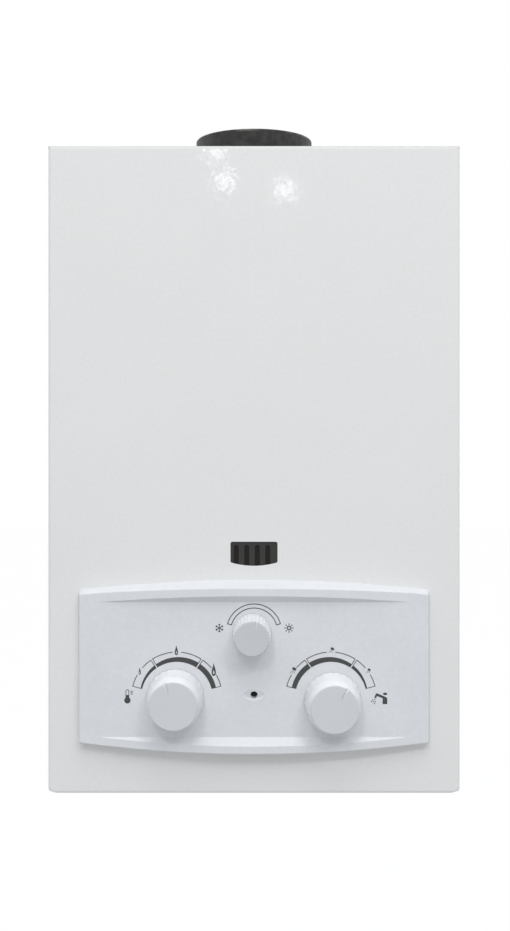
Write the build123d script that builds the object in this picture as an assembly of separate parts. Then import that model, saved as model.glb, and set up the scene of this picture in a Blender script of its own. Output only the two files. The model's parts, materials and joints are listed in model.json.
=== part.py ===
from build123d import *
import os
from math import atan2, degrees

# Wall-hung instantaneous gas water heater, in millimetres.
# The origin lies on the wall, midway between the two keyholes: +X right, +Y into the wall, +Z up.

# Casing
casing_width = 290.0
casing_height = 456.0
casing_depth = 125.0
keyhole_drop = 30.0
cover_sheet = 0.8
cover_bend = 2.5
cover_flange = 10.0
cover_wall_gap = 1.5
corner_width = 8.0
corner_height = 5.0
corner_depth = 6.0
chassis_sheet = 1.0
chassis_flange = 8.0
floor_rise = 13.0
floor_setback = 12.0

# Gaps between pieces, and how far a cutter runs past what it cuts
slip = 0.3
seat = 0.1
running = 0.05
overrun = 10.0

# Wall fixings and pressed ribs of the back plate
keyhole_spacing = 180.0
keyhole_entry_radius = 6.0
keyhole_neck_radius = 3.0
keyhole_rise = 9.0
lower_hole_radius = 3.25
lower_hole_rise = 26.0
rib_radius = 4.0
rib_margin = 70.0

# Louvres in the cover's sides
louvre_count = 6
louvre_length = 44.0
louvre_height = 3.6
louvre_pitch = 9.0
louvre_rise = 70.0

# Screws that hold the cover's lower flange, and the screw through the panel
screw_radius = 1.9
screw_head_radius = 3.6
screw_head_height = 2.2
screw_length = 9.0
cover_screw_spread = 150.0
cross_slot = 0.9
cross_depth = 1.1
nut_width = 12.0

# Flame window and the slotted plate behind it
window_lift = 107.3
window_width = 33.1
window_height = 17.0
window_arch = 2.4
window_corner = 1.4
grille_sheet = 0.8
grille_margin = 5.0
grille_slot_count = 4
grille_slot_width = 3.5
grille_slot_pitch = 7.4
grille_slot_shift = -1.4
grille_slot_drop = 2.4

# Control panel
panel_side_gap = 21.4
panel_rise_above = 73.6
panel_fall_below = 33.4
panel_top_arch = 6.8
panel_foot_arch = 7.9
panel_corner = 3.5
panel_draft = 15.0
panel_flat = 8.0
panel_crown = 5.0
panel_end_flat = 16.0
panel_wall = 2.5
panel_edge = 0.8
flat_above = 66.5
flat_below = 27.5
boss_wall = 2.5
screw_lift = 1.7
screw_well_radius = 2.55
eye_width = 15.6
eye_height = 8.0
eye_depth = 1.5
eye_draft = 45.0

# Knobs, and the angle of each pointer clockwise from the top
knob_rise = 70.0
knob_side_gap = 90.3
water_drop = 2.2
season_lift = 44.9
season_x = -1.4
knob_height = 21.5
knob_gap = 0.6
knob_wall = 2.4
knob_bevel = 3.0
bevel_outer_share = 0.6
bevel_inner_share = 0.2
knob_base_radius = 20.0
knob_front_radius = 18.3
knob_flutes = 24
knob_flute_radius = 12.0
knob_flute_depth = 0.4
knob_flute_fade = 0.12
season_height = 18.0
season_base_radius = 13.6
season_front_radius = 11.6
season_bevel = 0.8
season_flutes = 32
season_flute_radius = 2.0
season_flute_depth = 0.4
pointer_width = 3.4
pointer_tip = 1.0
pointer_depth = 1.2
pointer_reach_share = 0.45
season_reach_share = 0.62
gas_angle = -21.4
water_angle = 32.7
season_angle = 16.0
hub_radius = 7.0
hub_depth = 14.0
shaft_radius = 4.0
season_shaft_radius = 3.0
flat_share = 0.7

# Flue collar and draft hood
collar_rise = 17.6
collar_wall = 1.0
collar_bead = 1.6
notch_gap = 4.0
hood_height = 104.0
hood_sheet = 0.6
hood_front_gap = 16.5
hood_rear_gap = 0.5
hood_side_lip = 8.3
hood_front_lip = 2.3
relief_width = 70.0
relief_height = 14.0
relief_drop = 60.0
baffle_width = 74.0
baffle_fall = 14.0
baffle_drop = 40.0

# Combustion chamber, fins and water tubes
chamber_front_gap = 27.0
chamber_rear_gap = 19.0
chamber_side_gap = 50.0
chamber_sheet = 0.8
chamber_corner = 10.0
chamber_drop = 13.0
peep_width = 30.0
peep_height = 13.0
fin_height = 45.0
fin_sheet = 0.4
fin_pitch = 6.0
tube_radius = 6.0
tube_wall = 0.8
tube_row_edge = 15.5
tube_stub = 3.0
coil_gap = 0.3
coil_pitch = 40.0
coil_lift = 15.0
coil_riser_gap = 14.0
pipe_bend = 10.0
bracket_width = 16.0
bracket_height = 20.0
bracket_inset = 29.0
chamber_bracket_rise = 20.0
burner_bracket_drop = 15.0

# Burner
burner_drop = 15.0
frame_height = 52.0
ledge = 8.0
blade_side_gap = 18.0
blade_pitch = 19.0
blade_head = 12.0
blade_neck = 6.0
blade_tube_radius = 7.0
blade_throat = 4.5
port_count = 10
port_pitch = 7.0
port_width = 1.6
port_depth = 3.0

# Gas manifold, injectors and riser
manifold_front_gap = 4.0
manifold_depth = 18.0
manifold_height = 14.0
manifold_wall = 1.5
manifold_end = 8.0
injector_radius = 3.5
injector_reach = 2.0
injector_bore = 0.6
riser_radius = 6.5
riser_wall = 1.2
riser_inset = 6.5
season_boss_radius = 11.0
season_plug_radius = 6.0
season_plug_length = 13.0

# Valve bodies, which stand behind the two large knobs
valve_front_gap = 8.0
valve_depth = 50.0
valve_half_height = 22.0
gas_half_width = 20.0
valve_round = 4.0
plug_radius = 8.0
plug_length = 18.0
plug_inset = 3.0
link_setback = 33.0
inlet_boss_radius = 13.0
inlet_boss_height = 8.0
passage_radius = 5.0
poppet_chamber_radius = 10.5
poppet_chamber_depth = 11.0
poppet_radius = 8.5
poppet_thickness = 3.0
poppet_clear = 4.0
cap_radius = 15.0
cap_thickness = 4.0
solenoid_radius = 13.0
solenoid_length = 28.0
solenoid_plate = 3.0
water_left = 16.0
water_right = 10.0
flange_radius = 28.0
flange_thickness = 6.0
flange_recess_radius = 20.0
flange_recess_depth = 5.5
diaphragm_thickness = 1.5
dome_height = 9.0
dome_radius = 16.0
dome_plate = 4.0
flange_screws = 6
flange_screw_radius = 2.0
flange_screw_inset = 4.0
drain_setback = 13.0
drain_boss_radius = 7.5
drain_radius = 5.0
drain_boss_height = 8.0
drain_reach = 2.0
drain_wing_width = 15.0
drain_wing_thickness = 4.0
drain_wing_height = 9.0

# Push rod between the two valves, and the switch that it works
rod_radius = 2.5
rod_plate_radius = 14.0
rod_plate_thickness = 1.7
rod_plate_gap = 0.3
rod_collar_radius = 5.0
rod_collar_width = 4.0
bridge_sheet = 1.5
bridge_width = 18.0
bridge_lap = 10.0
switch_length = 12.8
switch_width = 5.8
switch_height = 6.5
switch_ear = 1.0
switch_ear_drop = 3.0
lever_sheet = 0.8
lever_width = 3.4
lever_gap = 0.3
lever_axle_radius = 0.9
lever_axle_drop = 1.6

# Connections under the casing
inlet_setback = 35.0
outlet_side_gap = 29.0
thread_radius = 10.48
thread_length = 17.0
shank_radius = 10.2
nipple_bore = 5.2
nipple_hex = 27.0
nipple_hex_height = 10.0
nipple_neck_radius = 9.0
locknut_hex = 27.0
locknut_height = 5.0
outlet_top_rise = 26.0
feed_setback = 27.0

# Ignition, battery and sensors
igniter_width = 26.0
igniter_depth = 27.0
igniter_height = 70.0
igniter_side_gap = 5.0
igniter_rise = 80.0
igniter_round = 2.0
electrode_offset = 34.0
electrode_lift = 8.0
ceramic_radius = 3.0
ceramic_reach = 12.0
ceramic_flange_radius = 6.0
ceramic_flange = 2.0
pin_radius = 1.0
pin_reach = 26.0
probe_reach = 36.0
cell_radius = 16.6
cell_length = 59.5
cell_nub_radius = 4.75
cell_nub = 1.5
cell_pitch = 34.4
battery_side_gap = 10.0
battery_front_gap = 16.5
battery_wall = 1.6
battery_clear = 1.6
battery_rim = 3.0
contact_sheet = 0.5
contact_width = 14.0
contact_lift = 3.0
door_thickness = 1.8
door_gap = 0.5
door_pin_radius = 1.25
door_pin_drop = 2.4
hinge_radius = 2.8
hinge_ear = 4.0
hinge_inset = 3.0
door_grip = 6.0
door_grip_inset = 10.0
door_grip_depth = 1.2
thermostat_radius = 8.0
thermostat_height = 8.0
thermostat_neck = 5.0
thermostat_rise = 170.0

# Places worked out from the sizes above
half_width = casing_width / 2
top_z = keyhole_drop
bottom_z = top_z - casing_height
front_y = -casing_depth
inner_front_y = front_y + cover_sheet
inner_half = half_width - cover_sheet
knob_z = bottom_z + knob_rise
knob_x = half_width - knob_side_gap
season_z = knob_z + season_lift
water_z = knob_z - water_drop
screw_z = knob_z + screw_lift
panel_face_y = front_y - panel_flat
panel_half = half_width - panel_side_gap
window_top_z = knob_z + window_lift
window_mid_z = window_top_z - window_height / 2

chamber_front_y = front_y + chamber_front_gap
chamber_rear_y = -chamber_rear_gap
chamber_y = (chamber_front_y + chamber_rear_y) / 2
chamber_depth = chamber_rear_y - chamber_front_y
chamber_half = half_width - chamber_side_gap
tube_row_pitch = chamber_depth / 2 - tube_row_edge
hood_top_z = top_z - cover_sheet - slip
hood_foot_z = hood_top_z - hood_height
chamber_top_z = hood_foot_z
fin_z = chamber_top_z - fin_height / 2
chamber_foot_z = window_mid_z - chamber_drop
collar_top_z = top_z + collar_rise
hood_front_y = front_y + hood_front_gap
hood_rear_y = -chassis_flange - hood_rear_gap
hood_depth = hood_rear_y - hood_front_y
collar_foot = hood_depth / 2 - hood_front_lip
collar_radius = collar_foot + slip - notch_gap

coil_x = chamber_half + coil_gap + tube_radius
coil_front_y = chamber_front_y - coil_gap - tube_radius
coil_rear_y = chamber_rear_y + coil_gap + tube_radius
coil_bend = chamber_corner + coil_gap + tube_radius
coil_low_z = window_top_z + coil_lift
riser_x = coil_x + coil_riser_gap
row_near_y = chamber_y + tube_row_pitch
row_far_y = chamber_y - tube_row_pitch
tube_end_x = chamber_half + tube_stub
feed_y = -feed_setback

frame_foot_z = chamber_foot_z - frame_height
burner_top_z = window_mid_z - burner_drop
blade_foot_z = frame_foot_z + chamber_sheet
manifold_z = blade_foot_z + blade_tube_radius
manifold_front_y = front_y + manifold_front_gap
manifold_rear_y = manifold_front_y + manifold_depth
manifold_foot_z = manifold_z - manifold_height / 2
blade_count = int(2 * (chamber_half - blade_side_gap) / blade_pitch) + 1
manifold_half = blade_pitch * (blade_count - 1) / 2 + manifold_end

valve_front_y = front_y + valve_front_gap
valve_rear_y = valve_front_y + valve_depth
valve_top_z = knob_z + valve_half_height
valve_foot_z = knob_z - valve_half_height
link_y = front_y + link_setback
gas_right_x = -knob_x + gas_half_width
gas_left_x = -knob_x - gas_half_width
water_left_x = knob_x - water_left
water_right_x = knob_x + water_right
flange_x = water_right_x + flange_thickness
cover_x = flange_x + diaphragm_thickness
cap_x = gas_right_x + cap_thickness
poppet_floor_x = gas_right_x - poppet_chamber_depth
recess_floor_x = flange_x - flange_recess_depth
plug_front_y = valve_front_y + plug_inset
plug_rear_y = plug_front_y + plug_length
riser_y = manifold_rear_y - riser_inset
connection_y = valve_front_y + inlet_setback
outlet_x = -half_width + outlet_side_gap
drain_y = valve_front_y + drain_setback
spool_rear_y = link_y - 2 * rod_radius
rod_collar_x = (cap_x + water_left_x) / 2
lever_x = rod_collar_x - lever_gap - lever_sheet / 2
lever_axle_z = valve_top_z - switch_height - lever_axle_drop

strip_foot_z = bottom_z + cover_sheet
plate_foot_z = strip_foot_z + floor_rise
plate_top_z = plate_foot_z + chassis_sheet
floor_front_y = front_y + floor_setback
rib_offset = (chamber_half - bracket_inset - bracket_width) / 2
plate_half = inner_half - slip - chassis_sheet - slip
shank_foot_z = plate_foot_z - locknut_height - seat
thread_foot_z = shank_foot_z - thread_length
outlet_top_z = plate_top_z + outlet_top_rise

battery_right_x = half_width - battery_side_gap
battery_left_x = battery_right_x - 2 * (cell_radius + battery_clear + battery_wall)
battery_x = (battery_left_x + battery_right_x) / 2
battery_front_y = front_y + battery_front_gap
battery_rear_y = battery_front_y + cell_pitch + 2 * (cell_radius + battery_clear + battery_wall)
battery_y = (battery_front_y + battery_rear_y) / 2
cell_foot_z = plate_top_z + contact_lift
cell_top_z = cell_foot_z + cell_length + cell_nub
battery_roof_z = cell_top_z + seat + contact_sheet
hinge_y = battery_rear_y - battery_wall / 2
hinge_z = plate_foot_z - door_pin_drop


def block(x0, x1, y0, y1, z0, z1):
    """Rectangular solid between two corners."""
    return Pos((x0 + x1) / 2, (y0 + y1) / 2, (z0 + z1) / 2) * Box(x1 - x0, y1 - y0, z1 - z0)


def rod_x(radius, x0, x1, y, z):
    """Round bar along X."""
    return Pos((x0 + x1) / 2, y, z) * Rot(0, 90, 0) * Cylinder(radius, x1 - x0)


def rod_y(radius, x, y0, y1, z):
    """Round bar along Y."""
    return Pos(x, (y0 + y1) / 2, z) * Rot(90, 0, 0) * Cylinder(radius, y1 - y0)


def rod_z(radius, x, y, z0, z1):
    """Round bar along Z."""
    return Pos(x, y, (z0 + z1) / 2) * Cylinder(radius, z1 - z0)


def hex_z(across_flats, x, y, z0, z1):
    """Hexagonal bar along Z."""
    face = RegularPolygon(across_flats / 2, 6, major_radius=False)
    return Pos(x, y, z0) * extrude(face, amount=z1 - z0)


def front_plane(y):
    """Upright plane at one depth, seen from the front: local x is +X and local y is +Z."""
    return Plane(origin=(0, y, 0), x_dir=(1, 0, 0), z_dir=(0, -1, 0))


def mirrored(shape):
    """A piece together with its mirror image on the other side."""
    return shape + mirror(shape, about=Plane.YZ)


def pipe(points, bend, radius, wall):
    """Hollow pipe along straight runs that are joined by bends."""
    path = FilletPolyline(*points, radius=bend)
    start = Plane(path @ 0, z_dir=path % 0)
    return sweep(start * (Circle(radius) - Circle(radius - wall)), path=path)


def chamber_outline(inset):
    """Rounded plan of the combustion chamber, drawn inwards by an inset."""
    width = 2 * (chamber_half - inset)
    return Pos(0, chamber_y) * RectangleRounded(width, chamber_depth - 2 * inset, chamber_corner - inset)


def chamber_ring(z0, z1):
    """Sheet wall that follows the plan of the combustion chamber."""
    ring = chamber_outline(0) - chamber_outline(chamber_sheet)
    return extrude(Pos(0, 0, z0) * ring, amount=z1 - z0)


# Casing
def corner_plane(side, inset):
    """Plane of the folded lower front corner, moved inwards by an inset."""
    across = Vector(side * (half_width - corner_width), front_y, bottom_z)
    up = Vector(side * half_width, front_y, bottom_z + corner_height)
    back = Vector(side * half_width, front_y + corner_depth, bottom_z)
    normal = (up - across).cross(back - across).normalized() * side
    return Plane(origin=across + normal * inset, z_dir=normal)


def cover_form(inset):
    """Solid form of the cover, drawn inwards by an inset."""
    side = half_width - inset
    form = block(-side, side, front_y + inset, -cover_wall_gap, bottom_z + inset, top_z - inset)
    form = fillet(form.faces().sort_by(Axis.Y)[0].edges(), cover_bend - inset)
    for hand in (-1, 1):
        form = split(form, bisect_by=corner_plane(hand, inset), keep=Keep.TOP)
    return form


def window_face(margin):
    """Flame window: straight top and sides, and a bowed lower edge."""
    side = window_width / 2 + margin
    top = window_top_z + margin
    low = window_top_z - window_height + window_arch - margin
    middle = window_top_z - window_height - margin
    outline = Polyline((-side, low), (-side, top), (side, top), (side, low))
    outline += ThreePointArc((side, low), (0, middle), (-side, low))
    face = make_face(outline)
    return fillet(face.vertices(), window_corner)


def make_front_cover():
    inner = cover_form(cover_sheet)
    cover = cover_form(0) - inner
    mouth = half_width - cover_flange
    cover -= block(-mouth, mouth, front_y + cover_flange, overrun, bottom_z - overrun, plate_top_z)
    notch = collar_radius + notch_gap
    cover -= rod_z(notch, 0, chamber_y, hood_top_z, top_z + overrun)
    cover -= block(-notch, notch, chamber_y, overrun, hood_top_z, top_z + overrun)
    cover -= extrude(front_plane(front_y) * window_face(0), amount=overrun, both=True)
    for x, z in ((-knob_x, knob_z), (knob_x, water_z), (season_x, season_z)):
        cover -= rod_y(hub_radius, x, front_y - overrun, inner_front_y + overrun, z)
    cover -= rod_y(screw_radius + slip, 0, front_y - overrun, inner_front_y + overrun, screw_z)
    for row in range(louvre_count):
        place = Plane(origin=(0, chamber_y, bottom_z + louvre_rise + row * louvre_pitch),
                      x_dir=(0, 1, 0), z_dir=(1, 0, 0))
        slot = SlotOverall(louvre_length, louvre_height)
        cover -= extrude(place * slot, amount=half_width + overrun, both=True)
    for hand in (-1, 1):
        cover -= rod_z(screw_radius + seat, hand * cover_screw_spread / 2, front_y + cover_flange / 2,
                       bottom_z - overrun, plate_top_z)
    return cover


def keyhole(hand):
    """Keyhole cutter: a round entry with a narrow neck above it."""
    x = hand * keyhole_spacing / 2
    entry = rod_y(keyhole_entry_radius, x, -overrun, overrun, 0)
    neck = block(x - keyhole_neck_radius, x + keyhole_neck_radius, -overrun, overrun, 0, keyhole_rise)
    return entry + neck + rod_y(keyhole_neck_radius, x, -overrun, overrun, keyhole_rise)


def make_back_plate():
    side = inner_half - slip
    plate = block(-side, side, -chassis_flange, 0, strip_foot_z, hood_top_z)
    plate -= block(-side + chassis_sheet, side - chassis_sheet, -chassis_flange - overrun, -chassis_sheet,
                   strip_foot_z - overrun, hood_top_z - chassis_sheet)
    rib_foot_z = bottom_z + rib_margin
    rib_top_z = top_z - rib_margin
    for hand in (-1, 1):
        rib = rod_z(rib_radius, hand * rib_offset, 0, rib_foot_z, rib_top_z)
        groove = rod_z(rib_radius - chassis_sheet, hand * rib_offset, 0,
                       rib_foot_z + chassis_sheet, rib_top_z - chassis_sheet)
        plate += split(rib, bisect_by=Plane.XZ, keep=Keep.TOP)
        plate -= groove
        plate -= keyhole(hand)
        plate -= rod_y(lower_hole_radius, hand * keyhole_spacing / 2, -overrun, overrun,
                       bottom_z + lower_hole_rise)
    return plate


def make_bottom_plate():
    """Low strip above the cover's front flange, and a floor that is raised behind it."""
    front = front_y + cover_bend + slip
    step_rear_y = floor_front_y + chassis_sheet
    plate = block(-plate_half, plate_half, front, step_rear_y, strip_foot_z, strip_foot_z + chassis_sheet)
    plate = chamfer(plate.edges().filter_by(Axis.Z).group_by(Axis.Y)[0], corner_width)
    plate += block(-plate_half, plate_half, floor_front_y, step_rear_y, strip_foot_z, plate_top_z)
    plate += block(-plate_half, plate_half, floor_front_y, -chassis_sheet, plate_foot_z, plate_top_z)
    plate += block(-plate_half, plate_half, -2 * chassis_sheet, -chassis_sheet,
                   plate_foot_z, plate_foot_z + chassis_flange)
    for x in (outlet_x, -knob_x, knob_x):
        plate -= rod_z(shank_radius + slip, x, connection_y, plate_foot_z - overrun, plate_top_z + overrun)
    plate -= rod_z(drain_radius + slip, knob_x, drain_y, plate_foot_z - overrun, plate_top_z + overrun)
    plate -= block(battery_left_x + battery_wall, battery_right_x - battery_wall,
                   battery_front_y + battery_wall, battery_rear_y + hinge_inset,
                   plate_foot_z - overrun, plate_top_z + overrun)
    for hand in (-1, 1):
        plate -= rod_z(screw_radius + seat, hand * cover_screw_spread / 2, front_y + cover_flange / 2,
                       strip_foot_z - overrun, strip_foot_z + overrun)
    return plate


def screw(length):
    """Pan-head screw with a cross recess: head above z = 0, shank below."""
    head = Cylinder(screw_head_radius, screw_head_height, align=(Align.CENTER, Align.CENTER, Align.MIN))
    head = fillet(head.edges().sort_by(Axis.Z)[-1], screw_head_height / 2)
    shank = Cylinder(screw_radius, length, align=(Align.CENTER, Align.CENTER, Align.MAX))
    arm = Pos(0, 0, screw_head_height) * Box(screw_head_radius, cross_slot, 2 * cross_depth)
    return head + shank - arm - Rot(0, 0, 90) * arm


def make_cover_screws():
    place = Pos(cover_screw_spread / 2, front_y + cover_flange / 2, bottom_z) * Rot(180, 0, 0)
    return mirrored(place * screw(screw_length))


def make_sight_grille():
    plate = window_face(grille_margin)
    first = grille_slot_shift - grille_slot_pitch * (grille_slot_count - 1) / 2
    slot_top_z = window_top_z - grille_slot_drop
    slot_height = window_height - grille_slot_drop + grille_margin / 2
    for step in range(grille_slot_count):
        slot = SlotOverall(slot_height, grille_slot_width, rotation=90)
        plate -= Pos(first + step * grille_slot_pitch, slot_top_z - slot_height / 2) * slot
    return extrude(front_plane(inner_front_y + seat) * plate, amount=-grille_sheet)


# Control panel
def panel_outline(inset):
    """Outline of the panel: upright ends, and a bowed top and foot."""
    side = panel_half - inset
    top = knob_z + panel_rise_above - inset
    foot = knob_z - panel_fall_below + inset
    outline = Polyline((-side, foot), (-side, top))
    outline += ThreePointArc((-side, top), (0, top + panel_top_arch), (side, top))
    outline += Polyline((side, top), (side, foot))
    outline += ThreePointArc((side, foot), (0, foot - panel_foot_arch), (-side, foot))
    face = make_face(outline)
    return fillet(face.vertices(), panel_corner)


def panel_crown_form():
    """Full height of the panel's front in plan: flat at the ends, bowed forward between them."""
    side = panel_half + overrun
    chord = panel_half - panel_end_flat
    outline = Polyline((chord, panel_face_y), (side, panel_face_y), (side, front_y), (-side, front_y),
                       (-side, panel_face_y), (-chord, panel_face_y))
    outline += ThreePointArc((-chord, panel_face_y), (0, panel_face_y - panel_crown), (chord, panel_face_y))
    foot = knob_z - panel_fall_below - panel_foot_arch - overrun
    height = panel_rise_above + panel_fall_below + panel_top_arch + panel_foot_arch + 2 * overrun
    return extrude(Pos(0, 0, foot) * make_face(outline), amount=height)


def panel_recess():
    """Cutter for the flat face, with slopes of 45 degrees up to both lips."""
    reach = panel_crown + overrun
    outline = Polyline((panel_face_y, knob_z - flat_below), (panel_face_y, knob_z + flat_above),
                       (panel_face_y - reach, knob_z + flat_above + reach),
                       (panel_face_y - reach, knob_z - flat_below - reach), close=True)
    face = make_face(outline)
    face = fillet(face.vertices().group_by(Axis.X)[-1], panel_edge)
    return extrude(Plane.YZ * face, amount=panel_half + overrun, both=True)


def eye_dimple():
    """Pointed oval scoop round the panel's screw hole, flush at its top and deepest along its foot."""
    half = eye_width / 2
    outline = ThreePointArc((-half, 0), (0, eye_height / 2), (half, 0))
    outline += ThreePointArc((half, 0), (0, -eye_height / 2), (-half, 0))
    face = front_plane(panel_face_y) * (Pos(0, screw_z) * make_face(outline))
    scoop = extrude(face, amount=-eye_depth, taper=eye_draft)
    floor = Plane(origin=(0, panel_face_y, screw_z + eye_height / 2), x_dir=(1, 0, 0),
                  z_dir=(0, -eye_height, -eye_depth))
    return split(scoop, bisect_by=floor, keep=Keep.TOP)


def make_control_panel():
    panel_depth = panel_flat + panel_crown
    panel = extrude(front_plane(front_y) * panel_outline(0), amount=panel_depth, taper=panel_draft)
    panel &= panel_crown_form()
    panel = fillet(panel.edges().sort_by(Axis.Y)[:2], panel_edge)
    panel -= panel_recess()
    pocket_depth = panel_flat - panel_wall
    panel -= extrude(front_plane(front_y) * panel_outline(panel_wall), amount=pocket_depth, taper=panel_draft)
    bosses = ((-knob_x, knob_z, shaft_radius), (knob_x, water_z, shaft_radius),
              (season_x, season_z, season_shaft_radius), (0, screw_z, screw_well_radius - slip))
    for x, z, radius in bosses:
        panel += rod_y(radius + slip + boss_wall, x, panel_face_y + panel_wall, front_y, z)
        panel -= rod_y(radius + slip, x, panel_face_y - overrun, front_y + overrun, z)
    return panel - eye_dimple()


def make_panel_screw():
    """The screw's head sits deep in the panel's well, on the face of the cover."""
    head_y = front_y
    thin = Pos(0, head_y, screw_z) * Rot(90, 0, 0) * Cylinder(
        screw_well_radius - seat, screw_head_height, align=(Align.CENTER, Align.CENTER, Align.MIN))
    shank = rod_y(screw_radius, 0, head_y, head_y + screw_length, screw_z)
    slot = block(-screw_well_radius, screw_well_radius, head_y - screw_head_height,
                 head_y - screw_head_height + cross_depth, screw_z - cross_slot / 2, screw_z + cross_slot / 2)
    return thin + shank - slot


def make_panel_nut():
    """Spring nut behind the cover that takes the panel's screw."""
    plate = block(-nut_width / 2, nut_width / 2, inner_front_y, inner_front_y + chassis_sheet,
                  screw_z - screw_head_radius, screw_z + screw_head_radius)
    plate += rod_y(screw_head_radius, 0, inner_front_y + chassis_sheet,
                   inner_front_y + 2 * chassis_sheet, screw_z)
    return plate - rod_y(screw_radius + seat, 0, inner_front_y - overrun, inner_front_y + overrun, screw_z)


# Knobs and spindles
def d_shaft(radius, length):
    """Shaft with one flat, standing on z = 0."""
    shaft = Cylinder(radius, length, align=(Align.CENTER, Align.CENTER, Align.MIN))
    return shaft - Pos(0, flat_share * radius + radius, length / 2) * Box(2 * radius, 2 * radius, length)


def pointer_groove(height, front_radius, reach_share):
    """V-shaped groove cutter in a knob's face, which widens and deepens towards the rim."""
    near = reach_share * front_radius
    far = front_radius + overrun
    sections = []
    for reach in (near, far):
        width = pointer_tip + (pointer_width - pointer_tip) * (reach - near) / (front_radius - near)
        depth = pointer_depth * width / pointer_width
        outline = Polyline((-width / 2, 0), (width / 2, 0), (0, -depth), close=True)
        place = Plane(origin=(0, reach, height), x_dir=(1, 0, 0), z_dir=(0, -1, 0))
        sections.append(place * make_face(outline))
    return loft(sections)


def bevelled_cone(height, base_radius, front_radius, bevel):
    """Outside form of a knob, with a wide bevel round its face and both of the bevel's edges softened."""
    body = Cone(base_radius, front_radius, height, align=(Align.CENTER, Align.CENTER, Align.MIN))
    body = chamfer(body.edges().filter_by(GeomType.CIRCLE).sort_by(Axis.Z)[-1], bevel)
    body = fillet(body.edges().filter_by(GeomType.CIRCLE).sort_by(Axis.Z)[-2], bevel * bevel_outer_share)
    return fillet(body.edges().filter_by(GeomType.CIRCLE).sort_by(Axis.Z)[-1], bevel * bevel_inner_share)


def knob(form, height, base_radius, front_radius, flutes, flute_radius, flute_depth, flute_fade, bore_radius):
    """Hollow knob about its own axis: base at z = 0 and face at the top."""
    low = (Align.CENTER, Align.CENTER, Align.MIN)
    lean = base_radius - front_radius - flute_depth + flute_fade
    scallop = Rot(0, -degrees(atan2(lean, height)), 0) * Cylinder(flute_radius, 3 * height)
    ring = PolarLocations(base_radius + flute_radius - flute_depth, flutes)
    body = form - [place * scallop for place in ring]
    cavity = Cone(base_radius - knob_wall, front_radius - 2 * knob_wall, height - knob_wall, align=low)
    body -= cavity - Cylinder(hub_radius, height, align=low)
    return body - d_shaft(bore_radius + seat, hub_depth)


def on_panel(x, z, angle):
    """Place on the panel's flat face, with the pointer turned clockwise by an angle."""
    face = Plane(origin=(x, panel_face_y - knob_gap, z), x_dir=(1, 0, 0), z_dir=(0, -1, 0))
    return Location(face) * Rot(0, 0, -angle)


def large_knob(x, z, angle):
    form = bevelled_cone(knob_height, knob_base_radius, knob_front_radius, knob_bevel)
    body = knob(form, knob_height, knob_base_radius, knob_front_radius, knob_flutes,
                knob_flute_radius, knob_flute_depth, knob_flute_fade, shaft_radius)
    body -= pointer_groove(knob_height, knob_front_radius, pointer_reach_share)
    return on_panel(x, z, angle) * body


def make_season_knob():
    form = bevelled_cone(season_height, season_base_radius, season_front_radius, season_bevel)
    body = knob(form, season_height, season_base_radius, season_front_radius, season_flutes,
                season_flute_radius, season_flute_depth, season_flute_depth, season_shaft_radius)
    body -= pointer_groove(season_height, season_front_radius, season_reach_share)
    return on_panel(season_x, season_z, season_angle) * body


def spindle(x, z, angle, radius, rear_y):
    """Knob shaft from inside the hub back to a valve."""
    tip = on_panel(x, z, angle) * d_shaft(radius, hub_depth - seat)
    return tip + rod_y(radius, x, panel_face_y - knob_gap, rear_y, z)


def make_water_spindle():
    shaft = spindle(knob_x, water_z, water_angle, shaft_radius, plug_front_y)
    spool = rod_y(plug_radius, knob_x, plug_front_y, spool_rear_y, water_z)
    return shaft + spool


def make_season_spindle():
    plug_front = manifold_front_y + seat
    shaft = spindle(season_x, season_z, season_angle, season_shaft_radius, plug_front)
    return shaft + rod_y(season_plug_radius, season_x, plug_front, plug_front + season_plug_length, season_z)


def make_gas_plug():
    """Tap plug with a cross bore that lets the gas through."""
    plug = rod_y(plug_radius, -knob_x, plug_front_y, plug_rear_y, knob_z)
    middle_y = (plug_front_y + plug_rear_y) / 2
    return plug - rod_z(passage_radius, -knob_x, middle_y, knob_z - plug_radius - overrun, knob_z + overrun)


# Gas side
def make_gas_valve_body():
    body = block(gas_left_x, gas_right_x, valve_front_y, valve_rear_y, valve_foot_z, valve_top_z)
    body = fillet(body.edges().filter_by(Axis.Y), valve_round)
    body += rod_z(inlet_boss_radius, -knob_x, connection_y, valve_foot_z - inlet_boss_height, knob_z)
    body -= rod_y(plug_radius + running, -knob_x, valve_front_y - overrun, plug_rear_y + slip, knob_z)
    body -= rod_x(poppet_chamber_radius, poppet_floor_x, gas_right_x + overrun, link_y, knob_z)
    body -= rod_x(passage_radius, -knob_x, gas_right_x, link_y, knob_z)
    body -= rod_z(nipple_bore, -knob_x, connection_y, valve_foot_z - inlet_boss_height - overrun, knob_z)
    middle_y = (plug_front_y + plug_rear_y) / 2
    body -= rod_z(passage_radius, -knob_x, middle_y, knob_z, valve_top_z + overrun)
    return body


def make_gas_valve_cap():
    cap = rod_x(cap_radius, gas_right_x, cap_x, link_y, knob_z)
    cap = chamfer(cap.edges().sort_by(Axis.X)[-1], cap_thickness / 3)
    return cap - rod_x(rod_radius + running, gas_right_x - overrun, cap_x + overrun, link_y, knob_z)


def make_solenoid_valve():
    plate_x = gas_left_x - solenoid_plate
    plate = block(plate_x, gas_left_x, link_y - solenoid_radius, link_y + solenoid_radius,
                  knob_z - solenoid_radius, knob_z + solenoid_radius)
    plate = fillet(plate.edges().filter_by(Axis.X), solenoid_plate)
    can = rod_x(solenoid_radius - seat, plate_x - solenoid_length, plate_x, link_y, knob_z)
    can = fillet(can.edges().sort_by(Axis.X)[0], solenoid_plate)
    return plate + can


def make_gas_riser():
    tube = rod_z(riser_radius, -knob_x, riser_y, valve_top_z, manifold_foot_z)
    return tube - rod_z(riser_radius - riser_wall, -knob_x, riser_y,
                        valve_top_z - overrun, manifold_foot_z + overrun)


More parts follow.
